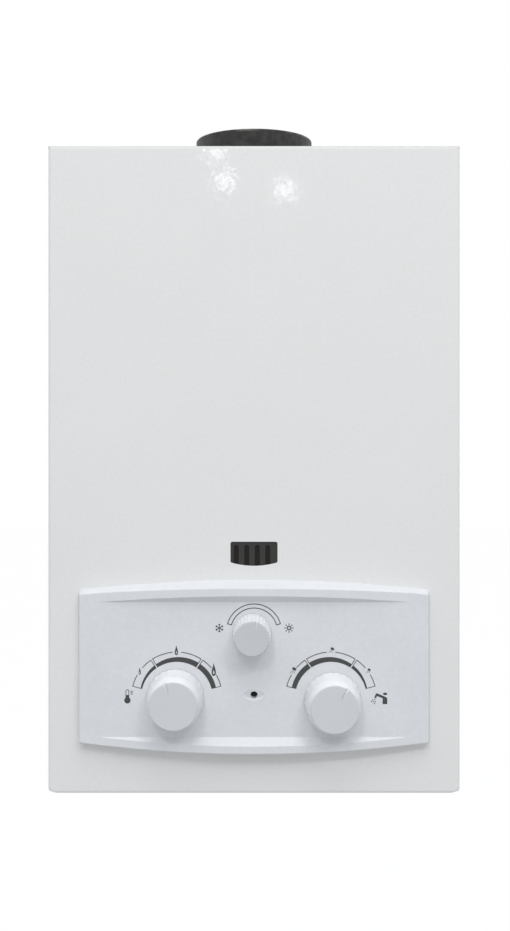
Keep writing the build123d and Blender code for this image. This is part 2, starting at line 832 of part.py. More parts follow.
def make_gas_manifold():
    rail = block(-manifold_half, manifold_half, manifold_front_y, manifold_rear_y,
                 manifold_foot_z, manifold_foot_z + manifold_height)
    rail = fillet(rail.edges().filter_by(Axis.X), manifold_wall)
    rail -= block(-manifold_half + manifold_wall, manifold_half - manifold_wall,
                  manifold_front_y + manifold_wall, manifold_rear_y - manifold_wall,
                  manifold_foot_z + manifold_wall, manifold_foot_z + manifold_height - manifold_wall)
    rail += rod_y(season_boss_radius, season_x, manifold_front_y, manifold_rear_y, season_z)
    rail -= rod_y(season_plug_radius + running, season_x, manifold_front_y - overrun,
                  manifold_front_y + season_plug_length + slip, season_z)
    rail -= rod_z(riser_radius - riser_wall, -knob_x, riser_y, manifold_foot_z - overrun, manifold_z)
    return rail


def blade_places():
    """Middle of each burner blade along X."""
    first = -blade_pitch * (blade_count - 1) / 2
    return [first + step * blade_pitch for step in range(blade_count)]


def make_injectors():
    group = []
    tip_y = chamber_front_y + injector_reach
    for x in blade_places():
        jet = rod_y(injector_radius, x, manifold_rear_y, tip_y, manifold_z)
        jet = chamfer(jet.edges().sort_by(Axis.Y)[-1], injector_radius / 3)
        group.append(jet - rod_y(injector_bore, x, manifold_rear_y - overrun, tip_y + overrun, manifold_z))
    return Part() + group


def burner_blade(x):
    """Bunsen blade: a mixing tube below, a narrow neck, and a head with cross ports."""
    y0 = chamber_front_y + chamber_sheet + seat
    y1 = chamber_rear_y - chamber_sheet - seat
    head_foot_z = burner_top_z - blade_head
    neck_height = burner_top_z - manifold_z - blade_neck
    head_z = (head_foot_z + burner_top_z) / 2
    profile = Pos(x, head_z) * RectangleRounded(blade_head, blade_head, blade_neck / 3)
    profile += Pos(x, (manifold_z + burner_top_z) / 2) * Rectangle(blade_neck, neck_height)
    profile += Pos(x, manifold_z) * Circle(blade_tube_radius)
    blade = extrude(front_plane(y1) * profile, amount=y1 - y0)
    blade -= rod_y(blade_throat, x, y0 - overrun, y1 - blade_tube_radius, manifold_z)
    first = chamber_y - port_pitch * (port_count - 1) / 2
    for step in range(port_count):
        y = first + step * port_pitch
        blade -= block(x - blade_head, x + blade_head, y - port_width / 2, y + port_width / 2,
                       burner_top_z - port_depth, burner_top_z + overrun)
    return blade


def make_burner_blades():
    return Part() + [burner_blade(x) for x in blade_places()]


def make_burner_frame():
    frame = chamber_ring(frame_foot_z, chamber_foot_z)
    floor = extrude(Pos(0, 0, frame_foot_z) * chamber_outline(0), amount=chamber_sheet)
    frame += floor - block(-chamber_half, chamber_half, chamber_front_y + ledge, chamber_rear_y - ledge,
                           frame_foot_z - overrun, frame_foot_z + overrun)
    for x in blade_places():
        frame -= rod_y(injector_radius + slip, x, chamber_front_y - overrun, chamber_front_y + overrun,
                       manifold_z)
    return frame


def standoff_brackets(z0):
    """Pair of Z-shaped brackets between the back plate and what stands in front of it."""
    web_x = chamber_half - bracket_inset
    z1 = z0 + bracket_height
    foot = block(web_x - bracket_width, web_x, -2 * chassis_sheet, -chassis_sheet, z0, z1)
    web = block(web_x - chassis_sheet, web_x, chamber_rear_y, -chassis_sheet, z0, z1)
    pad = block(web_x - chassis_sheet, web_x + bracket_width, chamber_rear_y,
                chamber_rear_y + chassis_sheet, z0, z1)
    return mirrored(foot + web + pad)


# Water side
def flange_ring(radius, x0, x1):
    """Ring of round bars along X, on the bolt circle of the diaphragm flange."""
    place = Plane(origin=(x0, link_y, knob_z), x_dir=(0, 1, 0), z_dir=(1, 0, 0))
    circle = PolarLocations(flange_radius - flange_screw_inset, flange_screws)
    return Part() + [extrude(place * (spot * Circle(radius)), amount=x1 - x0) for spot in circle]


def make_water_valve_body():
    body = block(water_left_x, water_right_x, valve_front_y, valve_rear_y, valve_foot_z, valve_top_z)
    body = fillet(body.edges().filter_by(Axis.Y), valve_round)
    body += rod_x(flange_radius, water_right_x, flange_x, link_y, knob_z)
    body += rod_z(inlet_boss_radius, knob_x, connection_y, valve_foot_z - inlet_boss_height, knob_z)
    body += rod_z(drain_boss_radius, knob_x, drain_y, valve_foot_z - drain_boss_height, knob_z)
    body -= rod_x(flange_recess_radius, recess_floor_x, flange_x + overrun, link_y, knob_z)
    body -= rod_x(rod_radius + running, water_left_x - overrun, flange_x, link_y, knob_z)
    body -= rod_y(plug_radius + running, knob_x, valve_front_y - overrun, spool_rear_y + slip, water_z)
    body -= rod_z(nipple_bore, knob_x, connection_y, valve_foot_z - inlet_boss_height - overrun,
                  knob_z - plug_radius)
    body -= rod_y(tube_radius - tube_wall, knob_x, connection_y, valve_rear_y + overrun, knob_z)
    return body - flange_ring(flange_screw_radius + seat, water_right_x - overrun, flange_x + overrun)


def make_diaphragm():
    disc = rod_x(flange_radius, flange_x, cover_x, link_y, knob_z)
    return disc - flange_ring(flange_screw_radius + seat, flange_x - overrun, cover_x + overrun)


def make_water_valve_cover():
    plate = rod_x(flange_radius, cover_x, cover_x + dome_plate, link_y, knob_z)
    dome = Pos(cover_x + dome_plate, link_y, knob_z) * Rot(0, 90, 0) * Cone(
        flange_recess_radius, dome_radius, dome_height, align=(Align.CENTER, Align.CENTER, Align.MIN))
    dome = fillet(dome.edges().sort_by(Axis.X)[-1], dome_plate / 2)
    hollow_x = cover_x + dome_plate + dome_height / 2
    cover = plate + dome - rod_x(dome_radius - dome_plate / 2, cover_x - overrun, hollow_x, link_y, knob_z)
    return cover - flange_ring(flange_screw_radius + seat, cover_x - overrun, cover_x + overrun)


def make_valve_cover_screws():
    shank_start = water_right_x + slip
    head_x = cover_x + dome_plate
    shanks = flange_ring(flange_screw_radius, shank_start, head_x)
    return shanks + flange_ring(flange_screw_inset - seat, head_x, head_x + flange_screw_radius)


def make_push_rod():
    """Rod from the diaphragm's plate to the gas poppet, with the collar that works the switch."""
    plate_x = flange_x - rod_plate_gap
    poppet_x = poppet_floor_x + poppet_clear
    rod = rod_x(rod_radius, poppet_x, plate_x, link_y, knob_z)
    rod += rod_x(rod_plate_radius, plate_x - rod_plate_thickness, plate_x, link_y, knob_z)
    rod += rod_x(poppet_radius, poppet_x, poppet_x + poppet_thickness, link_y, knob_z)
    return rod + rod_x(rod_collar_radius, rod_collar_x, rod_collar_x + rod_collar_width, link_y, knob_z)


def make_drain_plug():
    boss_foot_z = valve_foot_z - drain_boss_height
    wing_top_z = plate_foot_z - drain_reach
    plug = rod_z(drain_radius, knob_x, drain_y, wing_top_z, boss_foot_z)
    wing = block(knob_x - drain_wing_width / 2, knob_x + drain_wing_width / 2,
                 drain_y - drain_wing_thickness / 2, drain_y + drain_wing_thickness / 2,
                 wing_top_z - drain_wing_height, wing_top_z)
    return plug + fillet(wing.edges().filter_by(Axis.Y), drain_wing_thickness)


def make_valve_bridge():
    plate = block(gas_right_x - bridge_lap, water_left_x + bridge_lap, link_y - bridge_width / 2,
                  link_y + bridge_width / 2, valve_top_z, valve_top_z + bridge_sheet)
    return fillet(plate.edges().filter_by(Axis.Z), bridge_sheet)


def make_microswitch():
    """Switch body under the bridge, with two ears for the lever's axle."""
    right = lever_x + switch_ear_drop
    left = right - switch_length
    body_foot_z = valve_top_z - switch_height
    body = block(left, right, link_y - switch_width / 2, link_y + switch_width / 2, body_foot_z, valve_top_z)
    for hand in (-1, 1):
        outer = link_y + hand * switch_width / 2
        inner = outer - hand * switch_ear
        body += block(lever_x - switch_ear_drop / 2, lever_x + switch_ear_drop / 2,
                      min(outer, inner), max(outer, inner), body_foot_z - switch_ear_drop, body_foot_z)
    return body - rod_y(lever_axle_radius + running, lever_x, link_y - switch_width, link_y + switch_width,
                        lever_axle_z)


def make_switch_lever():
    tip_z = knob_z + rod_radius + lever_gap
    strip = block(lever_x - lever_sheet / 2, lever_x + lever_sheet / 2,
                  link_y - lever_width / 2, link_y + lever_width / 2, tip_z, lever_axle_z)
    return strip + rod_y(lever_axle_radius, lever_x, link_y - switch_width / 2, link_y + switch_width / 2,
                         lever_axle_z)


def nipple(x, neck_top_z):
    """Threaded connection that stands through the bottom plate."""
    body = rod_z(thread_radius, x, connection_y, thread_foot_z, shank_foot_z)
    body += rod_z(shank_radius, x, connection_y, shank_foot_z, plate_top_z)
    body += hex_z(nipple_hex, x, connection_y, plate_top_z, plate_top_z + nipple_hex_height)
    body += rod_z(nipple_neck_radius, x, connection_y, plate_top_z + nipple_hex_height, neck_top_z)
    return body - rod_z(nipple_bore, x, connection_y, thread_foot_z - overrun, neck_top_z + overrun)


def make_pipe_locknuts():
    group = []
    for x in (outlet_x, -knob_x, knob_x):
        nut = hex_z(locknut_hex, x, connection_y, plate_foot_z - locknut_height, plate_foot_z)
        group.append(nut - rod_z(shank_radius + seat, x, connection_y, shank_foot_z - overrun, plate_top_z))
    return Part() + group


# Heat exchanger
def make_combustion_chamber():
    shell = chamber_ring(chamber_foot_z, chamber_top_z)
    peep = block(-peep_width / 2, peep_width / 2, chamber_front_y - overrun, chamber_front_y + overrun,
                 window_mid_z - peep_height / 2, window_mid_z + peep_height / 2)
    shell -= fillet(peep.edges().filter_by(Axis.Y), window_corner)
    for y in (row_near_y, chamber_y, row_far_y):
        shell -= rod_x(tube_radius + seat, -half_width, half_width, y, fin_z)
    for hand in (-1, 1):
        shell -= rod_y(ceramic_radius + seat, hand * electrode_offset, chamber_front_y - overrun,
                       chamber_front_y + overrun, chamber_foot_z + electrode_lift)
    return shell


def make_exchanger_fins():
    inset = chamber_sheet + seat
    face = Rectangle(chamber_depth - 2 * inset, fin_height - 2 * inset)
    for row in (-tube_row_pitch, 0, tube_row_pitch):
        face -= Pos(row, 0) * Circle(tube_radius + seat)
    span = chamber_half - chamber_corner
    count = int(2 * span / fin_pitch) + 1
    first = -fin_pitch * (count - 1) / 2
    fins = []
    for step in range(count):
        place = Plane(origin=(first + step * fin_pitch, chamber_y, fin_z), x_dir=(0, 1, 0), z_dir=(1, 0, 0))
        fins.append(extrude(place * face, amount=fin_sheet))
    return Part() + fins


def make_exchanger_tubes():
    """One tube in three passes through the fins, turned back by a half circle at each end."""
    bend = tube_row_pitch / 2
    path = Line((tube_end_x, row_near_y, fin_z), (-tube_end_x, row_near_y, fin_z))
    path += ThreePointArc((-tube_end_x, row_near_y, fin_z),
                          (-tube_end_x - bend, chamber_y + bend, fin_z), (-tube_end_x, chamber_y, fin_z))
    path += Line((-tube_end_x, chamber_y, fin_z), (tube_end_x, chamber_y, fin_z))
    path += ThreePointArc((tube_end_x, chamber_y, fin_z),
                          (tube_end_x + bend, chamber_y - bend, fin_z), (tube_end_x, row_far_y, fin_z))
    path += Line((tube_end_x, row_far_y, fin_z), (-tube_end_x, row_far_y, fin_z))
    start = Plane(origin=(tube_end_x, row_near_y, fin_z), z_dir=(-1, 0, 0))
    return sweep(start * (Circle(tube_radius) - Circle(tube_radius - tube_wall)), path=path)


def make_chamber_coil():
    """Water tube wound twice round the chamber on its way up to the fins."""
    rise = coil_pitch / 4
    turn = ((coil_x, coil_front_y), (-coil_x, coil_front_y), (-coil_x, coil_rear_y))
    corners = turn + ((coil_x, coil_rear_y),) + turn + ((riser_x, coil_rear_y),)
    points = [(coil_x, feed_y, window_mid_z), (coil_x, feed_y, coil_low_z)]
    for step, (x, y) in enumerate(corners):
        points.append((x, y, coil_low_z + (step + 1) * rise))
    points.append((riser_x, row_near_y, coil_low_z + (len(corners) + 1) * rise))
    points.append((riser_x, row_near_y, fin_z))
    points.append((tube_end_x, row_near_y, fin_z))
    bends = [pipe_bend] + [coil_bend] * (len(corners) - 1) + [pipe_bend] * 3
    return pipe(points, bends, tube_radius, tube_wall)


def make_feed_pipe():
    points = [(knob_x, valve_rear_y, knob_z), (knob_x, feed_y, knob_z), (coil_x, feed_y, knob_z),
              (coil_x, feed_y, window_mid_z)]
    return pipe(points, pipe_bend, tube_radius, tube_wall)


def make_outlet_pipe():
    drop = fin_z - 3 * pipe_bend
    points = [(-tube_end_x, row_far_y, fin_z), (outlet_x, row_far_y, fin_z),
              (outlet_x, row_far_y, drop), (outlet_x, connection_y, drop - 3 * pipe_bend),
              (outlet_x, connection_y, outlet_top_z)]
    return pipe(points, pipe_bend, tube_radius, tube_wall)


# Flue
def hood_form(inset):
    """Tapered form between the chamber's plan and the hood's top, drawn inwards by an inset."""
    top = Pos(0, chamber_y, hood_top_z - inset) * RectangleRounded(
        2 * (collar_foot + hood_side_lip - inset), hood_depth - 2 * inset, chamber_corner - inset)
    return loft([Pos(0, 0, hood_foot_z) * chamber_outline(inset), top])


def make_draft_hood():
    hood = hood_form(0) - hood_form(hood_sheet)
    hood -= rod_z(collar_radius - collar_wall, 0, chamber_y, hood_top_z - overrun, hood_top_z + overrun)
    relief_z = hood_top_z - relief_drop
    relief = block(-relief_width / 2, relief_width / 2, front_y, 0, relief_z - relief_height / 2,
                   relief_z + relief_height / 2)
    return hood - fillet(relief.edges().filter_by(Axis.Y), relief_height / 3)


def make_draft_baffle():
    """Folded plate under the collar, whose ends meet the hood's front and back walls."""
    half = baffle_width / 2
    z = hood_top_z - baffle_drop
    outline = Polyline((-half, z), (0, z - baffle_fall), (half, z), (half, z + chassis_sheet),
                       (0, z - baffle_fall + chassis_sheet), (-half, z + chassis_sheet), close=True)
    plate = extrude(front_plane(chamber_y) * make_face(outline), amount=casing_depth, both=True)
    return plate & hood_form(hood_sheet + seat)


def make_flue_collar():
    """Flanged spigot with a rim that is rolled inwards."""
    bore = collar_radius - collar_wall
    foot_top_z = hood_top_z + collar_wall
    bead_z = collar_top_z - collar_bead
    outline = Polyline((bore, hood_top_z), (collar_foot, hood_top_z), (collar_foot, foot_top_z),
                       (collar_radius, foot_top_z), (collar_radius, bead_z), (bore, bead_z), close=True)
    profile = make_face(outline) + Pos(collar_radius - collar_bead, bead_z) * Circle(collar_bead)
    return Pos(0, chamber_y, 0) * revolve(Plane.XZ * profile, axis=Axis.Z)


# Ignition
def make_igniter_module():
    left = -half_width + igniter_side_gap
    foot = bottom_z + igniter_rise
    box = block(left, left + igniter_width, -chassis_sheet - igniter_depth, -chassis_sheet,
                foot, foot + igniter_height)
    box = fillet(box.edges().filter_by(Axis.Y), igniter_round)
    return fillet(box.faces().sort_by(Axis.Y)[0].edges(), igniter_round / 2)


def electrode(hand, reach):
    """Ceramic sleeve through the chamber's front wall, with a wire over the burner."""
    x = hand * electrode_offset
    z = chamber_foot_z + electrode_lift
    body = rod_y(ceramic_radius, x, chamber_front_y - ceramic_reach, chamber_front_y + ceramic_reach / 2, z)
    body += rod_y(ceramic_flange_radius, x, chamber_front_y - ceramic_flange, chamber_front_y, z)
    return body + rod_y(pin_radius, x, chamber_front_y, chamber_front_y + reach, z)


def make_battery_box():
    tub = block(battery_left_x, battery_right_x, battery_front_y, battery_rear_y,
                plate_top_z, battery_roof_z + battery_wall)
    tub = fillet(tub.edges().filter_by(Axis.Z), battery_wall)
    tub += block(battery_left_x - battery_rim, battery_right_x + battery_rim, battery_front_y - battery_rim,
                 battery_rear_y + battery_rim + hinge_inset, plate_top_z, plate_top_z + battery_wall)
    tub -= block(battery_left_x + battery_wall, battery_right_x - battery_wall,
                 battery_front_y + battery_wall, battery_rear_y - battery_wall,
                 plate_top_z - overrun, battery_roof_z)
    for ear_x in (battery_left_x + hinge_inset, battery_right_x - hinge_inset - hinge_ear):
        tub += rod_x(hinge_radius, ear_x, ear_x + hinge_ear, hinge_y, hinge_z)
        tub += block(ear_x, ear_x + hinge_ear, hinge_y - hinge_radius, hinge_y + hinge_radius,
                     hinge_z, plate_top_z + seat)
    return tub - rod_x(door_pin_radius + running, battery_left_x, battery_right_x, hinge_y, hinge_z)


def make_battery_door():
    side = door_gap + battery_wall
    left = battery_left_x + side
    right = battery_right_x - side
    front = battery_front_y + side
    rear = hinge_y - hinge_radius - door_gap
    top = plate_top_z
    foot = top - door_thickness
    door = block(left, right, front, rear, foot, top)
    door += block(left + door_grip_inset, right - door_grip_inset, front, front + door_grip,
                  foot - door_grip_depth, foot)
    knuckle_left = battery_left_x + hinge_inset + hinge_ear + door_gap
    knuckle_right = battery_right_x - hinge_inset - hinge_ear - door_gap
    door += rod_x(hinge_radius, knuckle_left, knuckle_right, hinge_y, hinge_z)
    door += block(knuckle_left, knuckle_right, rear - hinge_radius, hinge_y,
                  hinge_z - door_thickness / 2, foot)
    pad = contact_lift - seat
    for y in (battery_y - cell_pitch / 2, battery_y + cell_pitch / 2):
        door += rod_z(contact_width / 2, battery_x, y, top, top + pad)
    return door - rod_x(door_pin_radius + running, battery_left_x, battery_right_x, hinge_y, hinge_z)


def make_door_pin():
    return rod_x(door_pin_radius, battery_left_x + hinge_inset - seat, battery_right_x - hinge_inset + seat,
                 hinge_y, hinge_z)


def make_battery_cells():
    """Two cells side by side, one with its nub up and one with its nub down."""
    group = []
    for hand in (-1, 1):
        y = battery_y + hand * cell_pitch / 2
        foot = cell_foot_z if hand > 0 else cell_foot_z + cell_nub
        can = rod_z(cell_radius, battery_x, y, foot, foot + cell_length)
        can = fillet(can.edges().filter_by(GeomType.CIRCLE), cell_nub)
        nub_foot = foot + cell_length if hand > 0 else cell_foot_z
        group.append(can + rod_z(cell_nub_radius, battery_x, y, nub_foot, nub_foot + cell_nub))
    return Part() + group


def make_battery_contacts():
    half = contact_width / 2
    plates = []
    for y in (battery_y - cell_pitch / 2, battery_y + cell_pitch / 2):
        plates.append(block(battery_x - half, battery_x + half, y - half, y + half,
                            battery_roof_z - contact_sheet, battery_roof_z))
    return Part() + plates


def make_overheat_thermostat():
    """Disc thermostat with a saddle that fits the outlet pipe."""
    z = bottom_z + thermostat_rise
    neck_y = connection_y - tube_radius - seat
    head = rod_y(thermostat_radius, outlet_x, neck_y - thermostat_neck / 2 - thermostat_height,
                 neck_y - thermostat_neck / 2, z)
    head += rod_y(thermostat_neck, outlet_x, neck_y - thermostat_neck / 2, connection_y, z)
    return head - rod_z(tube_radius + seat, outlet_x, connection_y, z - overrun, z + overrun)


PIECES = {
    "back_plate": make_back_plate,
    "front_cover": make_front_cover,
    "bottom_plate": make_bottom_plate,
    "cover_screws": make_cover_screws,
    "sight_grille": make_sight_grille,
    "control_panel": make_control_panel,
    "panel_screw": make_panel_screw,
    "panel_nut": make_panel_nut,
    "gas_knob": lambda: large_knob(-knob_x, knob_z, gas_angle),
    "water_knob": lambda: large_knob(knob_x, water_z, water_angle),
    "season_knob": make_season_knob,
    "gas_spindle": lambda: spindle(-knob_x, knob_z, gas_angle, shaft_radius, plug_front_y),
    "water_spindle": make_water_spindle,
    "season_spindle": make_season_spindle,
    "gas_plug": make_gas_plug,
    "gas_valve_body": make_gas_valve_body,
    "gas_valve_cap": make_gas_valve_cap,
    "solenoid_valve": make_solenoid_valve,
    "gas_riser": make_gas_riser,
    "gas_manifold": make_gas_manifold,
    "injectors": make_injectors,
    "burner_blades": make_burner_blades,
    "burner_frame": make_burner_frame,
    "burner_brackets": lambda: standoff_brackets(chamber_foot_z - burner_bracket_drop - bracket_height),
    "water_valve_body": make_water_valve_body,
    "diaphragm": make_diaphragm,
    "water_valve_cover": make_water_valve_cover,
    "valve_cover_screws": make_valve_cover_screws,
    "push_rod": make_push_rod,
    "drain_plug": make_drain_plug,
    "valve_bridge": make_valve_bridge,
    "microswitch": make_microswitch,
    "switch_lever": make_switch_lever,
    "gas_inlet": lambda: nipple(-knob_x, valve_foot_z - inlet_boss_height),
    "cold_inlet": lambda: nipple(knob_x, valve_foot_z - inlet_boss_height),
    "hot_outlet": lambda: nipple(outlet_x, outlet_top_z),
    "pipe_locknuts": make_pipe_locknuts,
    "combustion_chamber": make_combustion_chamber,
    "chamber_brackets": lambda: standoff_brackets(chamber_top_z - fin_height - chamber_bracket_rise),
    "exchanger_fins": make_exchanger_fins,
    "exchanger_tubes": make_exchanger_tubes,
    "chamber_coil": make_chamber_coil,
    "feed_pipe": make_feed_pipe,
    "outlet_pipe": make_outlet_pipe,
    "draft_hood": make_draft_hood,
    "draft_baffle": make_draft_baffle,
    "flue_collar": make_flue_collar,
    "igniter_module": make_igniter_module,
    "ignition_electrode": lambda: electrode(-1, pin_reach),
    "flame_probe": lambda: electrode(1, probe_reach),
    "battery_box": make_battery_box,
    "battery_door": make_battery_door,
    "door_pin": make_door_pin,
    "battery_cells": make_battery_cells,
    "battery_contacts": make_battery_contacts,
    "overheat_thermostat": make_overheat_thermostat,
}

os.makedirs("parts", exist_ok=True)
for name, make in PIECES.items():
    piece = make()
    export_step(piece, f"parts/{name}.step")
    print(name, "solids", len(piece.solids()), "volume", round(piece.volume))
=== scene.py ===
# %% [markdown]
# # A wall-hung gas water heater
# The solid model of the heater is finished: its case, knobs, valves and pipes come in as fixed nodes, one
# mesh each. This lesson dresses them. It sets up the camera, the room and the light, and gives every node a
# finish made of shader nodes. Then it adds what only the eye needs: a dark pane of painted shade behind the
# flame window, the printed dials, longer cones on the knobs, low screw heads and the pipe threads.

# %% Load the frame
import bpy
import json
from math import atan2, cos, hypot, pi, radians, sin
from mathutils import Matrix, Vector


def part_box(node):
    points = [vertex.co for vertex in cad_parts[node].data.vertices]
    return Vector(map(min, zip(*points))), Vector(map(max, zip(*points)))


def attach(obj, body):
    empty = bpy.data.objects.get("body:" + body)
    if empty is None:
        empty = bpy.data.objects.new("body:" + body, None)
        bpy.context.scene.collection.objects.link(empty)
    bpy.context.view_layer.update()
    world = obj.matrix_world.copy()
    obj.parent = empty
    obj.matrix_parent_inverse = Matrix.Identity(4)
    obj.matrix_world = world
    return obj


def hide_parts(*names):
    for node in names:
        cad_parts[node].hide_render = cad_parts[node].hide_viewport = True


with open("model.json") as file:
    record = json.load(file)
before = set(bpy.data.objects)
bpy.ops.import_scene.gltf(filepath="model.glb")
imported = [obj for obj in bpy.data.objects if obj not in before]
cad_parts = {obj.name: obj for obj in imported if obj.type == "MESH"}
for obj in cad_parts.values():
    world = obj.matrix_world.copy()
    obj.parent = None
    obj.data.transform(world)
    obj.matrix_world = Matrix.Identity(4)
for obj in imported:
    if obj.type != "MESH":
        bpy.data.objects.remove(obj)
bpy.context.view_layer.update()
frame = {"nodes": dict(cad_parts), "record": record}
mm = 0.001

# %% [markdown]
# ## Camera
# The photograph was taken straight on, a little above the middle of the case, so the upper sides of the knobs
# show, and the rim of the flue collar looks like an arch. A level camera keeps upright edges upright. The
# frame is then moved down with the lens shift, as on a view camera, instead of tilting the camera.

# %% Camera
image_height = 931
frame_middle = (255, 465.5)
sight_pixel = (254, 390)
focal_pixels = 1078
eye_place = (0, -883 * mm, -142 * mm)
upright = (pi / 2, 0, 0)
camera_data = bpy.data.cameras.new("camera")
camera_data.sensor_width = 36
camera_data.lens = camera_data.sensor_width * focal_pixels / image_height
camera_data.shift_x = (frame_middle[0] - sight_pixel[0]) / image_height
camera_data.shift_y = (sight_pixel[1] - frame_middle[1]) / image_height
camera = bpy.data.objects.new("camera", camera_data)
camera.location = eye_place
camera.rotation_euler = upright
bpy.context.scene.collection.objects.link(camera)
bpy.context.scene.camera = camera
bpy.context.scene.view_settings.view_transform = "Standard"
print("lens", round(camera_data.lens, 2), "mm")

# %% [markdown]
# ## Writing shaders as sums
# A finish is mostly arithmetic: a noise times a strength, one minus a mask. Dragging Math nodes together by
# hand is slow to read, so a small class stands for a socket, and its plus, minus and times signs add the Math
# nodes. One method adds any other node: its settings come first, then the values or links of its sockets.

# %% Socket arithmetic
class Signal:
    """A socket of a node tree that can be used in sums."""

    def __init__(self, tree, socket=None):
        self.tree = tree
        self.socket = socket

    def node(self, kind, settings, values, output=0):
        """Adds a node, sets it up, feeds its sockets and gives one of its outputs."""
        made = self.tree.nodes.new(kind)
        for name, value in settings.items():
            setattr(made, name, value)
        for key, value in values.items():
            if isinstance(value, Signal):
                self.tree.links.new(value.socket, made.inputs[key])
            else:
                made.inputs[key].default_value = value
        return Signal(self.tree, made.outputs[output] if made.outputs else None)

    def maths(self, operation, first, second):
        return self.node("ShaderNodeMath", {"operation": operation}, {0: first, 1: second})

    def __add__(self, other):
        return self.maths("ADD", self, other)

    def __radd__(self, other):
        return self.maths("ADD", other, self)

    def __sub__(self, other):
        return self.maths("SUBTRACT", self, other)

    def __rsub__(self, other):
        return self.maths("SUBTRACT", other, self)

    def __mul__(self, other):
        return self.maths("MULTIPLY", self, other)

    def most(self, other):
        return self.maths("MAXIMUM", self, other)

    def ramp(self, start, end):
        """Zero up to one value, one from another value on, and a straight climb between them."""
        held = {"operation": "MULTIPLY", "use_clamp": True}
        return self.node("ShaderNodeMath", held, {0: self - start, 1: 1 / (end - start)})


def linear(red, green, blue):
    """Colour for a shader socket from three values of 0 to 255, as a paint program shows them."""
    parts = []
    for value in (red, green, blue):
        share = value / 255
        parts.append(share / 12.92 if share <= 0.04045 else ((share + 0.055) / 1.055) ** 2.4)
    return (*parts, 1)


print("grey 223 is", round(linear(223, 223, 223)[0], 3), "in the shader")

# %% [markdown]
# ## Room
# The photograph is a cut-out on white, lit softly from above and in front: surfaces that look up are the
# brightest. So the world gets brighter towards the top, which one even colour can't give. The background is
# white because the world and the floor show plain white to the camera, in gloss and through glass, not
# because more light is added.

# %% World
def seen_directly(paint):
    """One for rays from the camera, from gloss and through glass, and zero for rays that gather light."""
    camera_ray = paint.node("ShaderNodeLightPath", {}, {}, "Is Camera Ray")
    glossy_ray = paint.node("ShaderNodeLightPath", {}, {}, "Is Glossy Ray")
    clear_ray = paint.node("ShaderNodeLightPath", {}, {}, "Is Transmission Ray")
    return camera_ray.most(glossy_ray).most(clear_ray)


plain_white = (1, 1, 1, 1)
ambient_colour = (0.96, 0.98, 1, 1)
low_strength = 0.19
lift_strength = 1.22
world = bpy.data.worlds.new("studio")
bpy.context.scene.world = world
world.use_nodes = True
world.node_tree.nodes.clear()
sky = Signal(world.node_tree)
direction = sky.node("ShaderNodeTexCoord", {}, {}, "Generated")
upward = sky.node("ShaderNodeSeparateXYZ", {}, {"Vector": direction}, "Z").most(0)
strength = low_strength + upward * lift_strength
gathered = sky.node("ShaderNodeBackground", {}, {"Color": ambient_colour, "Strength": strength})
shown = sky.node("ShaderNodeBackground", {}, {"Color": plain_white, "Strength": 1})
mixed = sky.node("ShaderNodeMixShader", {}, {0: seen_directly(sky), 1: gathered, 2: shown})
sky.node("ShaderNodeOutputWorld", {}, {"Surface": mixed})
print("world from", low_strength, "to", low_strength + lift_strength)

# %% [markdown]
# ## Lamps
# A world alone would light every side and leave almost no shadow, but the knobs throw soft shadows downwards
# to both sides. Two soft lamps above the camera make those, and a large one overhead lights the ledges. The
# two in front are hidden from gloss, or they would show as hard white squares on the case in other views.
# Three small lamps behind the camera make the small glints near the top of the case.

# %% Lamps
def lamp(name, place, aim, size, power):
    """Soft square lamp that points at a place, and that the camera doesn't see."""
    data = bpy.data.lights.new(name, "AREA")
    data.size = size
    data.energy = power
    made = bpy.data.objects.new(name, data)
    made.location = place
    made.rotation_euler = (Vector(aim) - Vector(place)).to_track_quat("-Z", "Y").to_euler()
    made.visible_camera = False
    bpy.context.scene.collection.objects.link(made)
    return made


case_front = -0.125
case_middle = (0, case_front, -0.2)
# Name, place, size, power, and whether gloss shows the lamp
large_lamps = (("upper_left_lamp", (-0.27, -1.35, 0.66), 0.16, 2.7, False),
               ("upper_right_lamp", (0.48, -1.21, 0.71), 0.26, 3.0, False),
               ("overhead_lamp", (0, -2.1, 3.4), 1.8, 26, True))
for name, place, size, power, in_gloss in large_lamps:
    lamp(name, place, case_middle, size, power).visible_glossy = in_gloss
glint_places = ((-0.062, 0.298), (0.066, 0.280), (-0.082, 0.366))
glint_y = -1.641
glint_size = 0.034
glint_power = 0.029
for number, (x, z) in enumerate(glint_places):
    lamp(f"glint_lamp_{number}", (x, glint_y, z), (x / 3, case_front, 0), glint_size, glint_power)

# %% [markdown]
# ## Floor
# The heater hangs on a wall, so the floor lies about a metre below it. A plane with one wide bevelled rim
# would do, but a disc has no corners to show at the horizon. Its own colour is a grey that sends only a
# little light up. To the camera it shows mostly white, with some of its real shading left for the shadow.

# %% Floor
floor_z = -1.35
floor_radius = 9
floor_sides = 64
floor_grey = (0.51, 0.51, 0.51, 1)
white_glow = 1.08
shadow_kept = 0.15
bpy.ops.object.select_all(action="DESELECT")
bpy.ops.mesh.primitive_circle_add(vertices=floor_sides, radius=floor_radius, fill_type="NGON",
                                  location=(0, 0, floor_z))
floor = bpy.context.object
floor.name = "floor"
floor_finish = bpy.data.materials.new("pale_floor")
floor_finish.use_nodes = True
floor_finish.node_tree.nodes.clear()
ground = Signal(floor_finish.node_tree)
matt = ground.node("ShaderNodeBsdfDiffuse", {}, {"Color": floor_grey})
glow = ground.node("ShaderNodeEmission", {}, {"Color": plain_white, "Strength": white_glow})
white_share = seen_directly(ground) * (1 - shadow_kept)
surface = ground.node("ShaderNodeMixShader", {}, {0: white_share, 1: matt, 2: glow})
ground.node("ShaderNodeOutputMaterial", {}, {"Surface": surface})
floor.data.materials.append(floor_finish)
print("floor at", floor_z)

